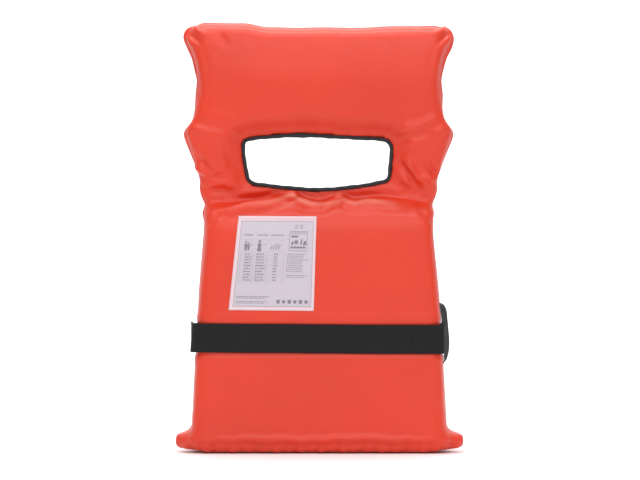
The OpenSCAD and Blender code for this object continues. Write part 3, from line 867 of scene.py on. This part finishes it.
def stitch_points(line, pitch):
    """Start and end of each stitch of a seam along the line. A third of the way is gap between stitches."""
    line = [Vector(p) for p in line]
    way = [0.0]
    for a, b in zip(line, line[1:]):
        way.append(way[-1] + (b - a).length)
    count = max(1, int(way[-1] / pitch))

    def at(distance):
        k = min(max(int(np.searchsorted(way, distance)) - 1, 0), len(line) - 2)
        t = (distance - way[k]) / max(way[k + 1] - way[k], 1e-9)
        return line[k].lerp(line[k + 1], t)

    step = way[-1] / count
    return [(at(k * step + 0.17 * step), at(k * step + 0.83 * step)) for k in range(count)]


def thread_mesh(seams, pitch, radius, out):
    """All stitches of some seams as one mesh of short rounded threads. out points away from the cloth."""
    verts, faces = [], []
    out = Vector(out)
    for seam in seams:
        for a, b in stitch_points(seam, pitch):
            along = (b - a).normalized()
            side = along.cross(out).normalized()
            base = len(verts)
            for share, size in ((0, 0.25), (0.2, 0.9), (0.5, 1.1), (0.8, 0.9), (1, 0.25)):
                centre = a.lerp(b, share) + out * radius * (0.35 * math.sin(math.pi * share) - 0.1)
                for k in range(6):
                    turn = math.pi * k / 3
                    verts.append(centre + (side * math.cos(turn) + out * math.sin(turn)) * radius * size)
            for ring in range(4):
                for k in range(6):
                    n = (k + 1) % 6
                    faces.append((base + ring * 6 + k, base + ring * 6 + n, base + ring * 6 + 6 + n,
                                  base + ring * 6 + 6 + k))
            faces.append(tuple(base + k for k in range(5, -1, -1)))
            faces.append(tuple(base + 24 + k for k in range(6)))
    return verts, faces


def sew(name, seams, pitch, radius, out, thread, body, slot):
    """Adds the stitches of some seams as a piece on the body of the cloth they hold."""
    verts, faces = thread_mesh(seams, pitch, radius, out)
    place_piece(add_piece(name, verts, faces, thread), body, slot)


def border_seams(top_at, inset, count):
    """The four sides of a seam that runs inside a sheet's edge, each as count points on its outer face."""
    corners = [(inset, inset), (1 - inset, inset), (1 - inset, 1 - inset), (inset, 1 - inset)]
    seams = []
    for (u0, v0), (u1, v1) in zip(corners, corners[1:] + corners[:1]):
        seams.append([top_at(u0 + (u1 - u0) * t, v0 + (v1 - v0) * t) for t in np.linspace(0, 1, count)])
    return seams


def strap_mesh(path, width_way, width, thickness, wave=0.0):
    """Webbing swept along path, a list of points. width_way points across it. UVs are in metres."""
    path = [Vector(p) for p in path]
    across = Vector(width_way)
    half, edge = width / 2, min(thickness * 0.45, width / 6)
    # Cross-section: flat faces with rounded selvedges, which are a little thicker
    section = []
    for side in (1, -1):
        for k in range(13):
            v = side * (-1 + k / 6)
            section.append((v * (half - edge), side * thickness * (0.5 + 0.06 * abs(v) ** 6)))
        for k in range(1, 4):
            turn = math.pi * k / 4
            v = side * (half - edge + edge * math.sin(turn))
            section.append((v, side * thickness * 0.56 * math.cos(turn)))
    count = len(section)
    verts, faces, uvs = [], [], []
    run = 0.0
    for k, point in enumerate(path):
        before = (point - path[k - 1]).normalized() if k else (path[1] - point).normalized()
        after = (path[k + 1] - point).normalized() if k < len(path) - 1 else before
        way = (before + after).normalized()
        out = way.cross(across).normalized()
        if k:
            run += (point - path[k - 1]).length
        # The webbing wanders a little to each side along its run
        shift = wave * (math.sin(run / (31 * MM)) + 0.6 * math.sin(run / (13 * MM) + 1))
        for v, h in section:
            verts.append(point + across * (v + shift) + out * h)
            uvs.append((run, v))
    for k in range(len(path) - 1):
        for i in range(count):
            n = (i + 1) % count
            faces.append((k * count + i, k * count + n, (k + 1) * count + n, (k + 1) * count + i))
    faces.append(tuple(range(count - 1, -1, -1)))
    faces.append(tuple((len(path) - 1) * count + i for i in range(count)))
    return verts, faces, uvs


def strap_piece(name, path, width_way, width, thickness, material, wave=0.0):
    """Webbing swept along path as a piece. wave is how far it wanders to each side."""
    verts, faces, uvs = strap_mesh(path, width_way, width, thickness, wave)
    piece = add_piece(name, verts, faces, material, uvs=uvs)
    fix_normals(piece)
    return piece


def dense(path, step):
    """The path with its corners rounded, as points about step apart."""
    path = np.asarray(path, float)
    length = np.linalg.norm(np.diff(path, axis=0), axis=1).sum()
    return through(path, max(8, int(length / step)))


def even_steps(path, step):
    """The path with its straight runs divided into points about step apart."""
    points = []
    for (a0, b0), (a1, b1) in zip(path, path[1:]):
        count = max(1, int(math.hypot(a1 - a0, b1 - b0) / step))
        points += [(a0 + (a1 - a0) * k / count, b0 + (b1 - b0) * k / count) for k in range(count)]
    return points + [path[-1]]


def shared_material(make, name, *values):
    """The material of this name, made when the first piece asks for it."""
    return bpy.data.materials.get(name) or make(name, *values)


def belt_webbing():
    """Polypropylene webbing of the belt and its loops: black, with the ribs of a heavy weave."""
    settings = bpy.context.scene.jacket_webbing
    return shared_material(webbing, "polypropylene_webbing", settings.colour, settings.rib_pitch)


def elastic():
    """Woven elastic: charcoal black, with ribs finer than the webbing's."""
    return shared_material(webbing, "woven_elastic", "#202023", 1.4 * MM)


def black_thread():
    """Bonded polyester thread: black with a slight shine."""
    return shared_material(plain_material, "black_bonded_thread", "#1C1C1E", 0.45, 0.4 * MM, 0.03 * MM)


def white_thread():
    """Bonded polyester thread: off-white with a slight shine."""
    return shared_material(plain_material, "white_bonded_thread", "#E9E2DF", 0.5, 0.4 * MM, 0.03 * MM)


# ---------- Neck binding ----------

class JACKET_OT_neck_binding(bpy.types.Operator):
    """Folds the grosgrain tape round the edge of the head opening"""
    bl_idname = "jacket.neck_binding"
    bl_label = "Neck binding"

    def execute(self, context):
        settings = context.scene.jacket_trim
        material = webbing("grosgrain_tape", settings.binding_colour, 1.6 * MM)
        count = 220
        half = settings.binding_width / 2 / MM
        ring = closed_curve(OPENING, count)
        inward = loop_inward(ring)
        verts, uvs = [], []
        run = 0.0
        turns = 16
        for k in range(count):
            x, z = ring[k]
            run += float(np.linalg.norm(ring[k] - ring[k - 1])) * MM if k else 0.0
            # The tape is gathered unevenly, and is fullest at the middle of the upper edge
            fullest = math.exp(-((x + 26) / 15) ** 2) if z > 420 else 0
            full = 1 + 0.08 * math.sin(k * 0.61) * math.sin(k * 0.23) + 0.3 * fullest
            y = float(bound_depth(z)) - 0.4
            for t in range(turns):
                turn = 2 * math.pi * t / turns
                reach = half * full * math.cos(turn)
                round_off = math.copysign(abs(math.sin(turn)) ** 0.75, math.sin(turn))
                deep = (3.4 + 0.25 * math.sin(k * 0.9)) * round_off
                px, pz = ring[k] + inward[k] * (half * full + reach - 0.4)
                verts.append(Vector((px, y + deep + SEAM_Y / MM, pz)) * MM)
                uvs.append((run, half * MM * turn))
        faces = []
        for k in range(count):
            n = (k + 1) % count
            for t in range(turns):
                m = (t + 1) % turns
                faces.append((k * turns + t, k * turns + m, n * turns + m, n * turns + t))
        piece = add_piece("neck_binding_tape", verts, faces, material, uvs=uvs)
        fix_normals(piece)
        place_piece(piece, "collar", "binding_tape", "neck_binding")
        # Sewn 0.9 mm inside the tape's edge, on its face
        line = []
        for x, z in ring + inward * 0.9:
            line.append(Vector((x, SEAM_Y / MM - 3.2 + float(bound_depth(z)), z)) * MM)
        sew("neck_binding_stitches", [line + line[:1]], 3.2 * MM, 0.22 * MM, (0, -1, 0), black_thread(),
            "collar", "binding_tape")
        return {"FINISHED"}


# ---------- Label ----------

# Corners of the label as (x, z) in mm: foot left, foot right, top left, top right
LABEL = ((-124.6, 198.4), (-7.2, 197.2), (-110.8, 328.3), (-3.2, 327.6))


def label_place(u, v):
    """The place (x, z) in metres at (u, v) of the label. u runs from the left and v from the top."""
    foot_l, foot_r, top_l, top_r = (np.array(p) for p in LABEL)
    top = top_l + (top_r - top_l) * u
    foot = foot_l + (foot_r - foot_l) * u
    x, z = top + (foot - top) * v
    return x * MM, z * MM


def label_marks():
    """The label's generic print as rectangles (u0, u1, v0, v1): a border, a table and broken grey lines."""
    rng = np.random.default_rng(4)
    marks = []

    def frame_of(u0, u1, v0, v1, line=0.004):
        marks.extend([(u0, u1, v0, v0 + line), (u0, u1, v1 - line, v1)])
        marks.extend([(u0, u0 + line, v0, v1), (u1 - line, u1, v0, v1)])

    def broken_line(u0, u1, v, height):
        """A row of small bars of uneven length, which reads as print and spells nothing."""
        while u0 < u1 - 0.006:
            bar = min(rng.uniform(0.008, 0.026), u1 - u0)
            marks.append((u0, u0 + bar, v, v + height))
            u0 += bar + rng.uniform(0.004, 0.009)

    frame_of(0.045, 0.965, 0.052, 0.960)
    # Head of the table: three columns, with an icon below each
    for u0, u1 in ((0.10, 0.215), (0.265, 0.395), (0.43, 0.60)):
        broken_line(u0, u1, 0.196, 0.011)
    for v in (0.252, 0.380):
        marks.append((0.075, 0.615, v, v + 0.0015))
    for u0, u1 in ((0.185, 0.215), (0.345, 0.385), (0.49, 0.58)):
        broken_line(u0, u1, 0.300, 0.007)
    for row in range(10):
        v = 0.398 + row * 0.0305
        for u, wide in ((0.13, 0.085), (0.27, 0.105), (0.485, 0.05)):
            broken_line(u, u + wide * rng.uniform(0.85, 1.1), v, 0.012)
        marks.append((0.075, 0.615, v + 0.0205, v + 0.0217))
    for u in (0.075, 0.235, 0.40, 0.613):
        marks.append((u, u + 0.0018, 0.385, 0.705))
    # Picture box at the upper right, with a line over it and a plain mark above
    broken_line(0.675, 0.895, 0.160, 0.012)
    frame_of(0.665, 0.895, 0.185, 0.368, 0.005)
    frame_of(0.735, 0.768, 0.092, 0.130, 0.006)
    frame_of(0.797, 0.830, 0.092, 0.130, 0.006)
    # Paragraphs at the right and at the foot
    for row in range(13):
        if row != 10:
            broken_line(0.648, 0.648 + rng.uniform(0.19, 0.27), 0.398 + row * 0.0205, 0.0075)
    for v in (0.850, 0.866, 0.902, 0.918):
        broken_line(0.075, 0.075 + rng.uniform(0.32, 0.40), v, 0.008)
    return marks


def label_icons():
    """Plain icons as outlines of (u, v) points: figures, waves and care symbols of no particular scheme."""
    icons = []

    def disc(u, v, r, n=12):
        icons.append([(u + r * math.cos(2 * math.pi * k / n), v + 0.9 * r * math.sin(2 * math.pi * k / n))
                      for k in range(n)])

    def figure(u, v, size):
        disc(u, v - 0.62 * size, 0.17 * size)
        icons.append([(u - 0.26 * size, v - 0.40 * size), (u + 0.26 * size, v - 0.40 * size),
                      (u + 0.15 * size, v + 0.5 * size), (u - 0.15 * size, v + 0.5 * size)])

    figure(0.130, 0.328, 0.078)
    figure(0.165, 0.332, 0.066)
    figure(0.300, 0.328, 0.095)
    icons.append([(0.272, 0.345), (0.328, 0.345), (0.322, 0.372), (0.278, 0.372)])
    for k in range(4):
        u = 0.435 + 0.032 * k
        icons.append([(u, 0.352), (u + 0.022, 0.310), (u + 0.030, 0.314), (u + 0.009, 0.358)])
    # In the picture box: a float on waves, and a hill
    for k in range(5):
        u = 0.682 + 0.038 * k
        icons.append([(u, 0.330), (u + 0.019, 0.312), (u + 0.038, 0.330), (u + 0.038, 0.341), (u, 0.341)])
    disc(0.755, 0.275, 0.026)
    icons.append([(0.690, 0.205), (0.775, 0.205), (0.775, 0.226), (0.690, 0.226)])
    icons.append([(0.690, 0.305), (0.702, 0.268), (0.718, 0.262), (0.724, 0.285), (0.714, 0.306)])
    icons.append([(0.800, 0.300), (0.818, 0.238), (0.832, 0.242), (0.822, 0.302)])
    icons.append([(0.836, 0.306), (0.852, 0.262), (0.880, 0.262), (0.884, 0.306)])
    # Care symbols
    for k in range(6):
        u = 0.575 + 0.066 * k
        if k % 2:
            disc(u, 0.906, 0.022)
        else:
            icons.append([(u - 0.024, 0.886), (u + 0.024, 0.886), (u + 0.017, 0.926), (u - 0.017, 0.926)])
    return icons


def add_label_ground(top_at, colour):
    """The pale printed ground inside the label's border: flat, and a little greyer than the cloth."""
    ground = plain_material("pale_ink", colour, 0.6, 1 * MM, 0.01 * MM)
    raised = Vector((0, -0.09 * MM, 0))
    verts, faces = [], []
    steps = 48
    for r in range(steps + 1):
        for c in range(steps + 1):
            verts.append(top_at(0.047 + 0.916 * c / steps, 0.054 + 0.904 * r / steps) + raised)
    for r in range(steps):
        for c in range(steps):
            a = r * (steps + 1) + c
            faces.append((a, a + steps + 1, a + steps + 2, a + 1))
    piece = add_piece("instruction_label_ground", verts, faces, ground)
    place_piece(piece, "chest", "label_cloth")


def add_label_print(top_at, colour):
    """The label's marks and icons in hot-stamped ink: flat grey, lying just on the cloth."""
    ink = plain_material("printed_ink", colour, 0.6, 1 * MM, 0.01 * MM)
    raised = Vector((0, -0.17 * MM, 0))
    longest = 0.022
    verts, faces = [], []
    for u0, u1, v0, v1 in label_marks():
        # Long marks follow the cloth in short steps
        along_u = (u1 - u0) > (v1 - v0)
        steps = max(1, int(math.ceil(max(u1 - u0, v1 - v0) / longest)))
        for k in range(steps):
            a, b = k / steps, (k + 1) / steps
            if along_u:
                box = (u0 + (u1 - u0) * a, u0 + (u1 - u0) * b, v0, v1)
            else:
                box = (u0, u1, v0 + (v1 - v0) * a, v0 + (v1 - v0) * b)
            base = len(verts)
            for u, v in ((box[0], box[3]), (box[1], box[3]), (box[1], box[2]), (box[0], box[2])):
                verts.append(top_at(u, v) + raised)
            faces.append((base, base + 1, base + 2, base + 3))
    for icon in label_icons():
        base = len(verts)
        verts += [top_at(u, v) + raised for u, v in icon]
        faces.append(tuple(range(base, base + len(icon))))
    piece = add_piece("instruction_label_print", verts, faces, ink, smooth=False)
    for polygon in piece.data.polygons:
        if polygon.normal.y > 0:
            polygon.flip()
    place_piece(piece, "chest", "label_cloth")


class JACKET_OT_label(bpy.types.Operator):
    """Lays the instruction label on the back panel, with its print and its stitching"""
    bl_idname = "jacket.label"
    bl_label = "Instruction label"

    def execute(self, context):
        settings = context.scene.jacket_trim
        surface = Surface()
        # Coated taffeta: smooth and slightly glossy. Its colour holds a painted pink cast, the light bounced
        # onto it from the cloth round it
        cloth = plain_material("coated_taffeta", settings.label_colour, 0.55, 1.2 * MM, 0.05 * MM)
        verts, faces, top_at = sheet_on(surface, label_place, 45, 49, 0.15 * MM, 0.35 * MM, ease=14)
        piece = add_piece("instruction_label_cloth", verts, faces, cloth)
        fix_normals(piece)
        place_piece(piece, "chest", "label_cloth", "instruction_label")
        add_label_ground(top_at, settings.ground_colour)
        add_label_print(top_at, settings.ink_colour)
        # The upper seam is sewn in the cover's colour, the others in white
        upper, *others = border_seams(top_at, 0.018, 30)
        sew("instruction_label_stitches", others, 3.0 * MM, 0.24 * MM, (0, -1, 0), white_thread(),
            "chest", "label_cloth")
        upper = [point + Vector((0, 0, -1.6 * MM)) for point in upper]
        coral = plain_material("coral_bonded_thread", "#D8665C", 0.5, 0.4 * MM, 0.03 * MM)
        sew("instruction_label_upper_stitches", [upper], 2.4 * MM, 0.42 * MM, (0, -1, 0), coral,
            "chest", "label_cloth")
        return {"FINISHED"}


# ---------- Belt ----------

def turn_points(cx, cy, radius, start, end, count=9):
    """Points of an arc about (cx, cy), from one angle to another in degrees."""
    return [(cx + radius * math.cos(math.radians(a)), cy + radius * math.sin(math.radians(a)))
            for a in np.linspace(start, end, count)]


def belt_lines():
    """Places that the belt's pieces share, in metres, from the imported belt."""
    low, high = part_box("belt")
    socket_low, socket_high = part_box("buckle_socket")
    thickness = 1.8 * MM
    # The front run stands off the lobes, which are 46 mm deep from the seam
    front = SEAM_Y + 48.7 * MM
    # From the socket's outer edge to the bar that the belt is sewn round
    bar_inset = 4 * MM
    return {
        "left": low[0] + thickness / 2, "right": high[0] - thickness / 2, "back": low[1] + thickness / 2,
        "front": front, "middle": (low[2] + high[2]) / 2,
        "buckle_y": (socket_low[1] + socket_high[1]) / 2, "socket_x": socket_low[0] + bar_inset,
    }


class JACKET_OT_belt(bpy.types.Operator):
    """Runs the waist belt round the chest pad, from the socket's bar to the plug, with its sewn end"""
    bl_idname = "jacket.belt"
    bl_label = "Waist belt"

    def execute(self, context):
        settings = context.scene.jacket_webbing
        at = belt_lines()
        front, back, left, right = at["front"], at["back"], at["left"], at["right"]
        bar_x, bar_y, wrap = at["socket_x"], at["buckle_y"], 3.5 * MM
        thick = settings.thickness
        # The end is folded back over the belt and sewn down
        folded = front + 2.0 * MM
        path = [(-100 * MM, folded), (-66 * MM, folded), (bar_x - 9 * MM, bar_y + wrap)]
        path += list(reversed(turn_points(bar_x, bar_y, wrap, -90, 90)))
        path += [(bar_x - 9 * MM, bar_y - wrap), (bar_x - 24 * MM, front)]
        # At the back corners the belt lies closer in than at the middle of the sides
        tuck_left, tuck_right = 3.4 * MM, 1.9 * MM
        front_left, back_left, back_right, front_right = 26 * MM, 8 * MM, 4 * MM, 22 * MM
        path += turn_points(left + front_left, front - front_left, front_left, 90, 180)
        path += turn_points(left + tuck_left + back_left, back + back_left, back_left, 180, 270)
        path += turn_points(right - tuck_right - back_right, back + back_right, back_right, -90, 0)
        path += turn_points(right - front_right, front - front_right, front_right, 0, 90)
        path += [(14 * MM, front)]
        points = []
        for x, y in even_steps(path, 5 * MM):
            # The back run rises a little towards the left
            z = at["middle"] + 2.4 * MM * ((0.180 - x) / 0.36) ** 1.6 * (y < front - 20 * MM)
            points.append((x, y, z))
        piece = strap_piece("waist_belt", points, (0, 0, 1), settings.width, thick, belt_webbing(),
                            wave=0.12 * MM)
        # Lean of the left end, which is pulled to the front lower down
        co = points_of(piece)
        lean = smooth_step(-co[:, 0], 0.150, 0.172) * (1 - smooth_step(co[:, 1], -0.03, 0.01))
        co[:, 0] -= lean * (at["middle"] - co[:, 2]) * 0.07
        set_points(piece, co)
        place_piece(piece, "chest", "black_webbing", "belt")
        # Box of stitches that holds the folded end
        z0, z1 = at["middle"] - 15 * MM, at["middle"] + 15 * MM
        x0, x1 = -96 * MM, -72 * MM
        y = folded + 0.55 * thick
        corners = [(x0, y, z0), (x1, y, z0), (x1, y, z1), (x0, y, z1)]
        seams = [corners + corners[:1], [corners[0], corners[2]], [corners[1], corners[3]]]
        sew("waist_belt_stitches", seams, 3.0 * MM, 0.3 * MM, (0, 1, 0), black_thread(),
            "chest", "black_webbing")
        return {"FINISHED"}


class JACKET_OT_belt_tail(bpy.types.Operator):
    """Threads the belt's loose end through the plug, and puts the elastic keeper round it"""
    bl_idname = "jacket.belt_tail"
    bl_label = "Belt tail and keeper"

    def execute(self, context):
        settings = context.scene.jacket_webbing
        at = belt_lines()
        bar_x, bar_y, wrap = 22 * MM, at["buckle_y"], 3.5 * MM
        tail_y = at["front"] + 2.1 * MM
        path = [(bar_x - wrap, tail_y + 1 * MM)]
        path += list(reversed(turn_points(bar_x, bar_y, wrap, 0, 180)))
        path.append((bar_x + wrap + 0.4 * MM, tail_y + 2.6 * MM))
        # Two straight runs along the belt, each in eight steps
        tip = bar_x + 118 * MM
        runs = [(bar_x + 8 * MM, tail_y), (bar_x + 60 * MM, tail_y), (tip, tail_y + 0.4 * MM)]
        for (x0, y0), (x1, y1) in zip(runs, runs[1:]):
            path += [(x0 + (x1 - x0) * k / 8, y0 + (y1 - y0) * k / 8) for k in range(8)]
        path.append(runs[-1])
        points = [(x, y, at["middle"]) for x, y in path]
        tail = strap_piece("belt_tail_webbing", points, (0, 0, 1), settings.width - 0.6 * MM,
                           settings.thickness, belt_webbing(), wave=0.1 * MM)
        place_piece(tail, "plug", "black_webbing", "belt_tail")
        # The keeper is a flat band of elastic that closes round the belt and the tail
        low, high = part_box("tail_keeper")
        wall = 1.0 * MM
        z0, z1 = low[2] + wall / 2, high[2] - wall / 2
        y0, y1 = low[1] + wall / 2, high[1] + 0.3 * MM - wall / 2
        middle = (low[0] + high[0]) / 2
        bend = 1.6 * MM
        ring = []
        for cy, cz, start in ((y1 - bend, z1 - bend, 0), (y0 + bend, z1 - bend, 90),
                              (y0 + bend, z0 + bend, 180), (y1 - bend, z0 + bend, 270)):
            ring += turn_points(cy, cz, bend, start, start + 90, 6)
        ring.append(ring[0])
        points = [(middle, y, z) for y, z in even_steps(ring, 3 * MM)]
        keeper = strap_piece("tail_keeper_elastic", points, (1, 0, 0), high[0] - low[0], wall, elastic())
        place_piece(keeper, "keeper", "black_elastic", "tail_keeper")
        return {"FINISHED"}


class JACKET_OT_belt_loops(bpy.types.Operator):
    """Sews the two webbing loops that carry the belt, one on the right side and one on the front"""
    bl_idname = "jacket.belt_loops"
    bl_label = "Belt loops"

    def execute(self, context):
        settings = context.scene.jacket_webbing
        low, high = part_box("belt_loop_side")
        y = (low[1] + high[1]) / 2
        width = high[1] - low[1]
        surface = Surface()
        # Its ends go into the side seam
        path = [(surface.x(y, 0.2065) - 2 * MM, 0.2068), (0.1718, 0.2055), (0.1752, 0.2025), (0.1778, 0.1965),
                (0.1788, 0.188), (0.1803, 0.172), (0.1815, 0.158), (0.1816, 0.148), (0.1808, 0.139),
                (0.1790, 0.132), (0.1766, 0.1265), (surface.x(y, 0.123) - 2 * MM, 0.1228)]
        points = [(x, y, z) for x, z in dense(path, 3 * MM)]
        side = strap_piece("side_belt_loop", points, (0, 1, 0), width, settings.thickness, belt_webbing())
        # The loop is twisted, so that its back edge lies against the belt and the cover
        co = points_of(side)
        beside = 1 - smooth_step(np.abs(co[:, 2] - belt_lines()["middle"]), 20.2 * MM, 22.5 * MM)
        behind = np.clip((high[1] - co[:, 1]) / width, 0, 1)
        floor = np.array([surface.x(float(v[1]), float(v[2])) for v in co]) + 0.9 * MM
        floor = np.maximum(floor, 0.165 + beside * 8.6 * MM)
        co[:, 0] -= behind * np.clip(co[:, 0] - floor, 0, 12 * MM)
        set_points(side, co)
        place_piece(side, "chest", "black_webbing", "belt_loop_side")
        low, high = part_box("belt_loop_front")
        middle = (low[0] + high[0]) / 2
        far = high[1] - settings.thickness / 2
        near_top = surface.y(middle, 0.193, back=False) + 1.0 * MM
        near_foot = surface.y(middle, 0.121, back=False) + 1.0 * MM
        path = [(near_top, high[2]), (near_top, 0.188), (far - 1 * MM, 0.1815), (far, 0.176), (far, 0.158),
                (far, 0.140), (far - 1 * MM, 0.1345), (near_foot, 0.128), (near_foot, low[2])]
        points = [(middle, y, z) for y, z in dense(path, 3 * MM)]
        front = strap_piece("front_belt_loop", points, (1, 0, 0), high[0] - low[0], settings.thickness,
                            belt_webbing())
        place_piece(front, "chest", "black_webbing", "belt_loop_front")
        # Bar tacks at the ends
        seams = []
        for z, depth in ((0.197, near_top), (0.193, near_top), (0.121, near_foot), (0.1245, near_foot)):
            out = depth + 0.6 * settings.thickness
            seams.append([(low[0] + 3 * MM, out, z), (high[0] - 3 * MM, out, z)])
        sew("front_belt_loop_stitches", seams, 1.6 * MM, 0.3 * MM, (0, 1, 0), black_thread(),
            "chest", "black_webbing")
        return {"FINISHED"}


# ---------- Reflective patches ----------

class JACKET_OT_reflective_patches(bpy.types.Operator):
    """Lays the retro-reflective patches on the two lobes and on the collar, and stitches them down"""
    bl_idname = "jacket.reflective_patches"
    bl_label = "Reflective patches"

    def execute(self, context):
        surface = Surface()
        tape = reflective_tape()
        for node, body in (("reflective_patch_left", "chest"), ("reflective_patch_right", "chest"),
                           ("collar_reflective_left", "collar"), ("collar_reflective_right", "collar")):
            low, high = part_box(node)

            def place(u, v, low=low, high=high):
                return low[0] + (high[0] - low[0]) * u, high[2] + (low[2] - high[2]) * v

            verts, faces, top_at = sheet_on(surface, place, 21, 25, 0.1 * MM, 0.4 * MM, ease=10, back=False)
            piece = add_piece(node + "_tape", verts, faces, tape)
            fix_normals(piece)
            place_piece(piece, body, "reflective_tape", node)
            sew(node + "_stitches", border_seams(top_at, 0.045, 16), 3.0 * MM, 0.24 * MM, (0, 1, 0),
                white_thread(), body, "reflective_tape")
        return {"FINISHED"}


# ---------- Buckle and whistle ----------

class JACKET_OT_hardware(bpy.types.Operator):
    """Finishes the moulded buckle and whistle, and sews the whistle's elastic sleeve"""
    bl_idname = "jacket.hardware"
    bl_label = "Buckle and whistle"

    def execute(self, context):
        # Injection-moulded acetal: black, fine spark-eroded grain, a soft shine
        acetal = plain_material("moulded_acetal", "#17181A", 0.42, 0.8 * MM, 0.05 * MM, IOR=1.48)
        # Injection-moulded ABS: bright yellow and glossy, with faint flow marks
        abs_plastic = plain_material("moulded_abs", "#F2B705", 0.25, 6 * MM, 0.04 * MM, IOR=1.53)
        for node in ("buckle_socket", "buckle_plug", "prong_upper", "prong_lower"):
            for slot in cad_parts[node].material_slots:
                slot.material = acetal
        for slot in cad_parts["whistle"].material_slots:
            slot.material = abs_plastic
        low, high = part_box("whistle_sleeve")
        centre = (low[0] + high[0]) / 2
        near, far = low[1] + 0.9 * MM, high[1] - 0.9 * MM
        half = (high[0] - low[0]) / 2
        # A flange is sewn down at each side of the pocket for the whistle
        flange = 8.5 * MM
        inner = half - flange
        path = [(-half, near), (-inner - 1.5 * MM, near), (-inner, near + 2 * MM), (-inner, far - 3 * MM),
                (-inner + 3 * MM, far), (inner - 3 * MM, far), (inner, far - 3 * MM), (inner, near + 2 * MM),
                (inner + 1.5 * MM, near), (half, near)]
        points = [(centre + x, y, (low[2] + high[2]) / 2) for x, y in dense(path, 2 * MM)]
        sleeve = strap_piece("whistle_sleeve_elastic", points, (0, 0, 1), high[2] - low[2], 1.2 * MM,
                             elastic())
        place_piece(sleeve, "chest", "black_elastic", "whistle_sleeve")
        return {"FINISHED"}


# ---------- Stage ----------

class JACKET_OT_stage(bpy.types.Operator):
    """Adds the floor, the backdrop, soft lights and the camera"""
    bl_idname = "jacket.stage"
    bl_label = "Stage"

    def execute(self, context):
        settings = context.scene.jacket_stage
        material, _, _ = new_material("matt_white_paper", linear(settings.floor_colour), 0.9)
        # A sweep of paper: floor in front, curving up behind the jacket. Matt, so that it takes no highlights
        near_edge, depth, bend, height, half_width = -4.0, 4.8, 1.4, 5.0, 6.0
        line = [(near_edge, 0.0)]
        for angle in np.linspace(0, math.pi / 2, 17):
            line.append((depth - bend + bend * math.sin(angle), bend - bend * math.cos(angle)))
        line.append((depth, height))
        verts = [(x, y, z) for y, z in line for x in (-half_width, half_width)]
        faces = [(2 * k, 2 * k + 1, 2 * k + 3, 2 * k + 2) for k in range(len(line) - 1)]
        sweep = add_piece("paper_sweep", verts, faces, material)

        def area_light(name, place, target, size, power):
            lamp = bpy.data.lights.new(name, "AREA")
            lamp.shape = "RECTANGLE"
            lamp.size, lamp.size_y = size
            lamp.energy = power
            light = bpy.data.objects.new(name, lamp)
            light.location = place
            light.rotation_euler = (Vector(target) - Vector(place)).to_track_quat("-Z", "Y").to_euler()
            context.scene.collection.objects.link(light)

        area_light("key_softbox", (-0.3, -1.3, 2.5), (0, 0, 0.35), (2.2, 1.2), 28)
        area_light("front_softbox", (0.4, -3.0, 1.6), (0, 0, 0.2), (2.4, 1.2), 24)
        area_light("top_softbox", (0, 0.1, 2.1), (0, 0, 0.3), (1.6, 0.5), 20)
        area_light("left_softbox", (-1.8, 0.8, 0.9), (0, 0, 0.3), (0.8, 1.6), 2)
        area_light("right_softbox", (1.8, 0.8, 0.9), (0, 0, 0.3), (0.8, 1.6), 2)
        area_light("backdrop_softbox", (0, 2.6, 3.6), (0, 4.8, 1.1), (4.0, 1.2), 150)
        world = bpy.data.worlds.new("soft_studio")
        world.use_nodes = True
        world.node_tree.nodes["Background"].inputs["Color"].default_value = linear("#FFFFFF")
        world.node_tree.nodes["Background"].inputs["Strength"].default_value = 0.48
        context.scene.world = world
        context.scene.view_settings.view_transform = "Standard"

        lens = bpy.data.cameras.new("camera")
        lens.sensor_width = 36
        lens.lens = 36 * settings.camera_distance / settings.field_width
        camera = bpy.data.objects.new("camera", lens)
        # Level, and aimed at the middle of the jacket's height
        camera.location = (1.4 * MM, -settings.camera_distance, 0.295)
        camera.rotation_euler = (math.pi / 2, 0, 0)
        context.scene.collection.objects.link(camera)
        context.scene.camera = camera
        return {"FINISHED"}


class JACKET_PT_panel(bpy.types.Panel):
    """Lists the operators that build the jacket"""
    bl_idname = "JACKET_PT_panel"
    bl_label = "Life jacket"
    bl_space_type = "VIEW_3D"
    bl_region_type = "UI"
    bl_category = "Life jacket"

    def draw(self, context):
        for operator in OPERATORS:
            self.layout.operator(operator.bl_idname)


OPERATORS = [JACKET_OT_stage, JACKET_OT_cover, JACKET_OT_neck_binding, JACKET_OT_label, JACKET_OT_belt,
             JACKET_OT_belt_tail, JACKET_OT_belt_loops, JACKET_OT_reflective_patches, JACKET_OT_hardware]
GROUPS = {"jacket_cover": CoverSettings, "jacket_webbing": WebbingSettings, "jacket_trim": TrimSettings,
          "jacket_stage": StageSettings}
CLASSES = [*GROUPS.values(), *OPERATORS, JACKET_PT_panel]


def register():
    """Registers the classes, and the settings on the scene."""
    for item in CLASSES:
        bpy.utils.register_class(item)
    for name, group in GROUPS.items():
        setattr(bpy.types.Scene, name, bpy.props.PointerProperty(type=group))


def unregister():
    """Takes back what register added."""
    for name in GROUPS:
        delattr(bpy.types.Scene, name)
    for item in reversed(CLASSES):
        bpy.utils.unregister_class(item)


def main():
    """Builds the stage and every piece."""
    register()
    for operator in OPERATORS:
        group, name = operator.bl_idname.split(".")
        getattr(getattr(bpy.ops, group), name)()


if __name__ == "__main__":
    main()
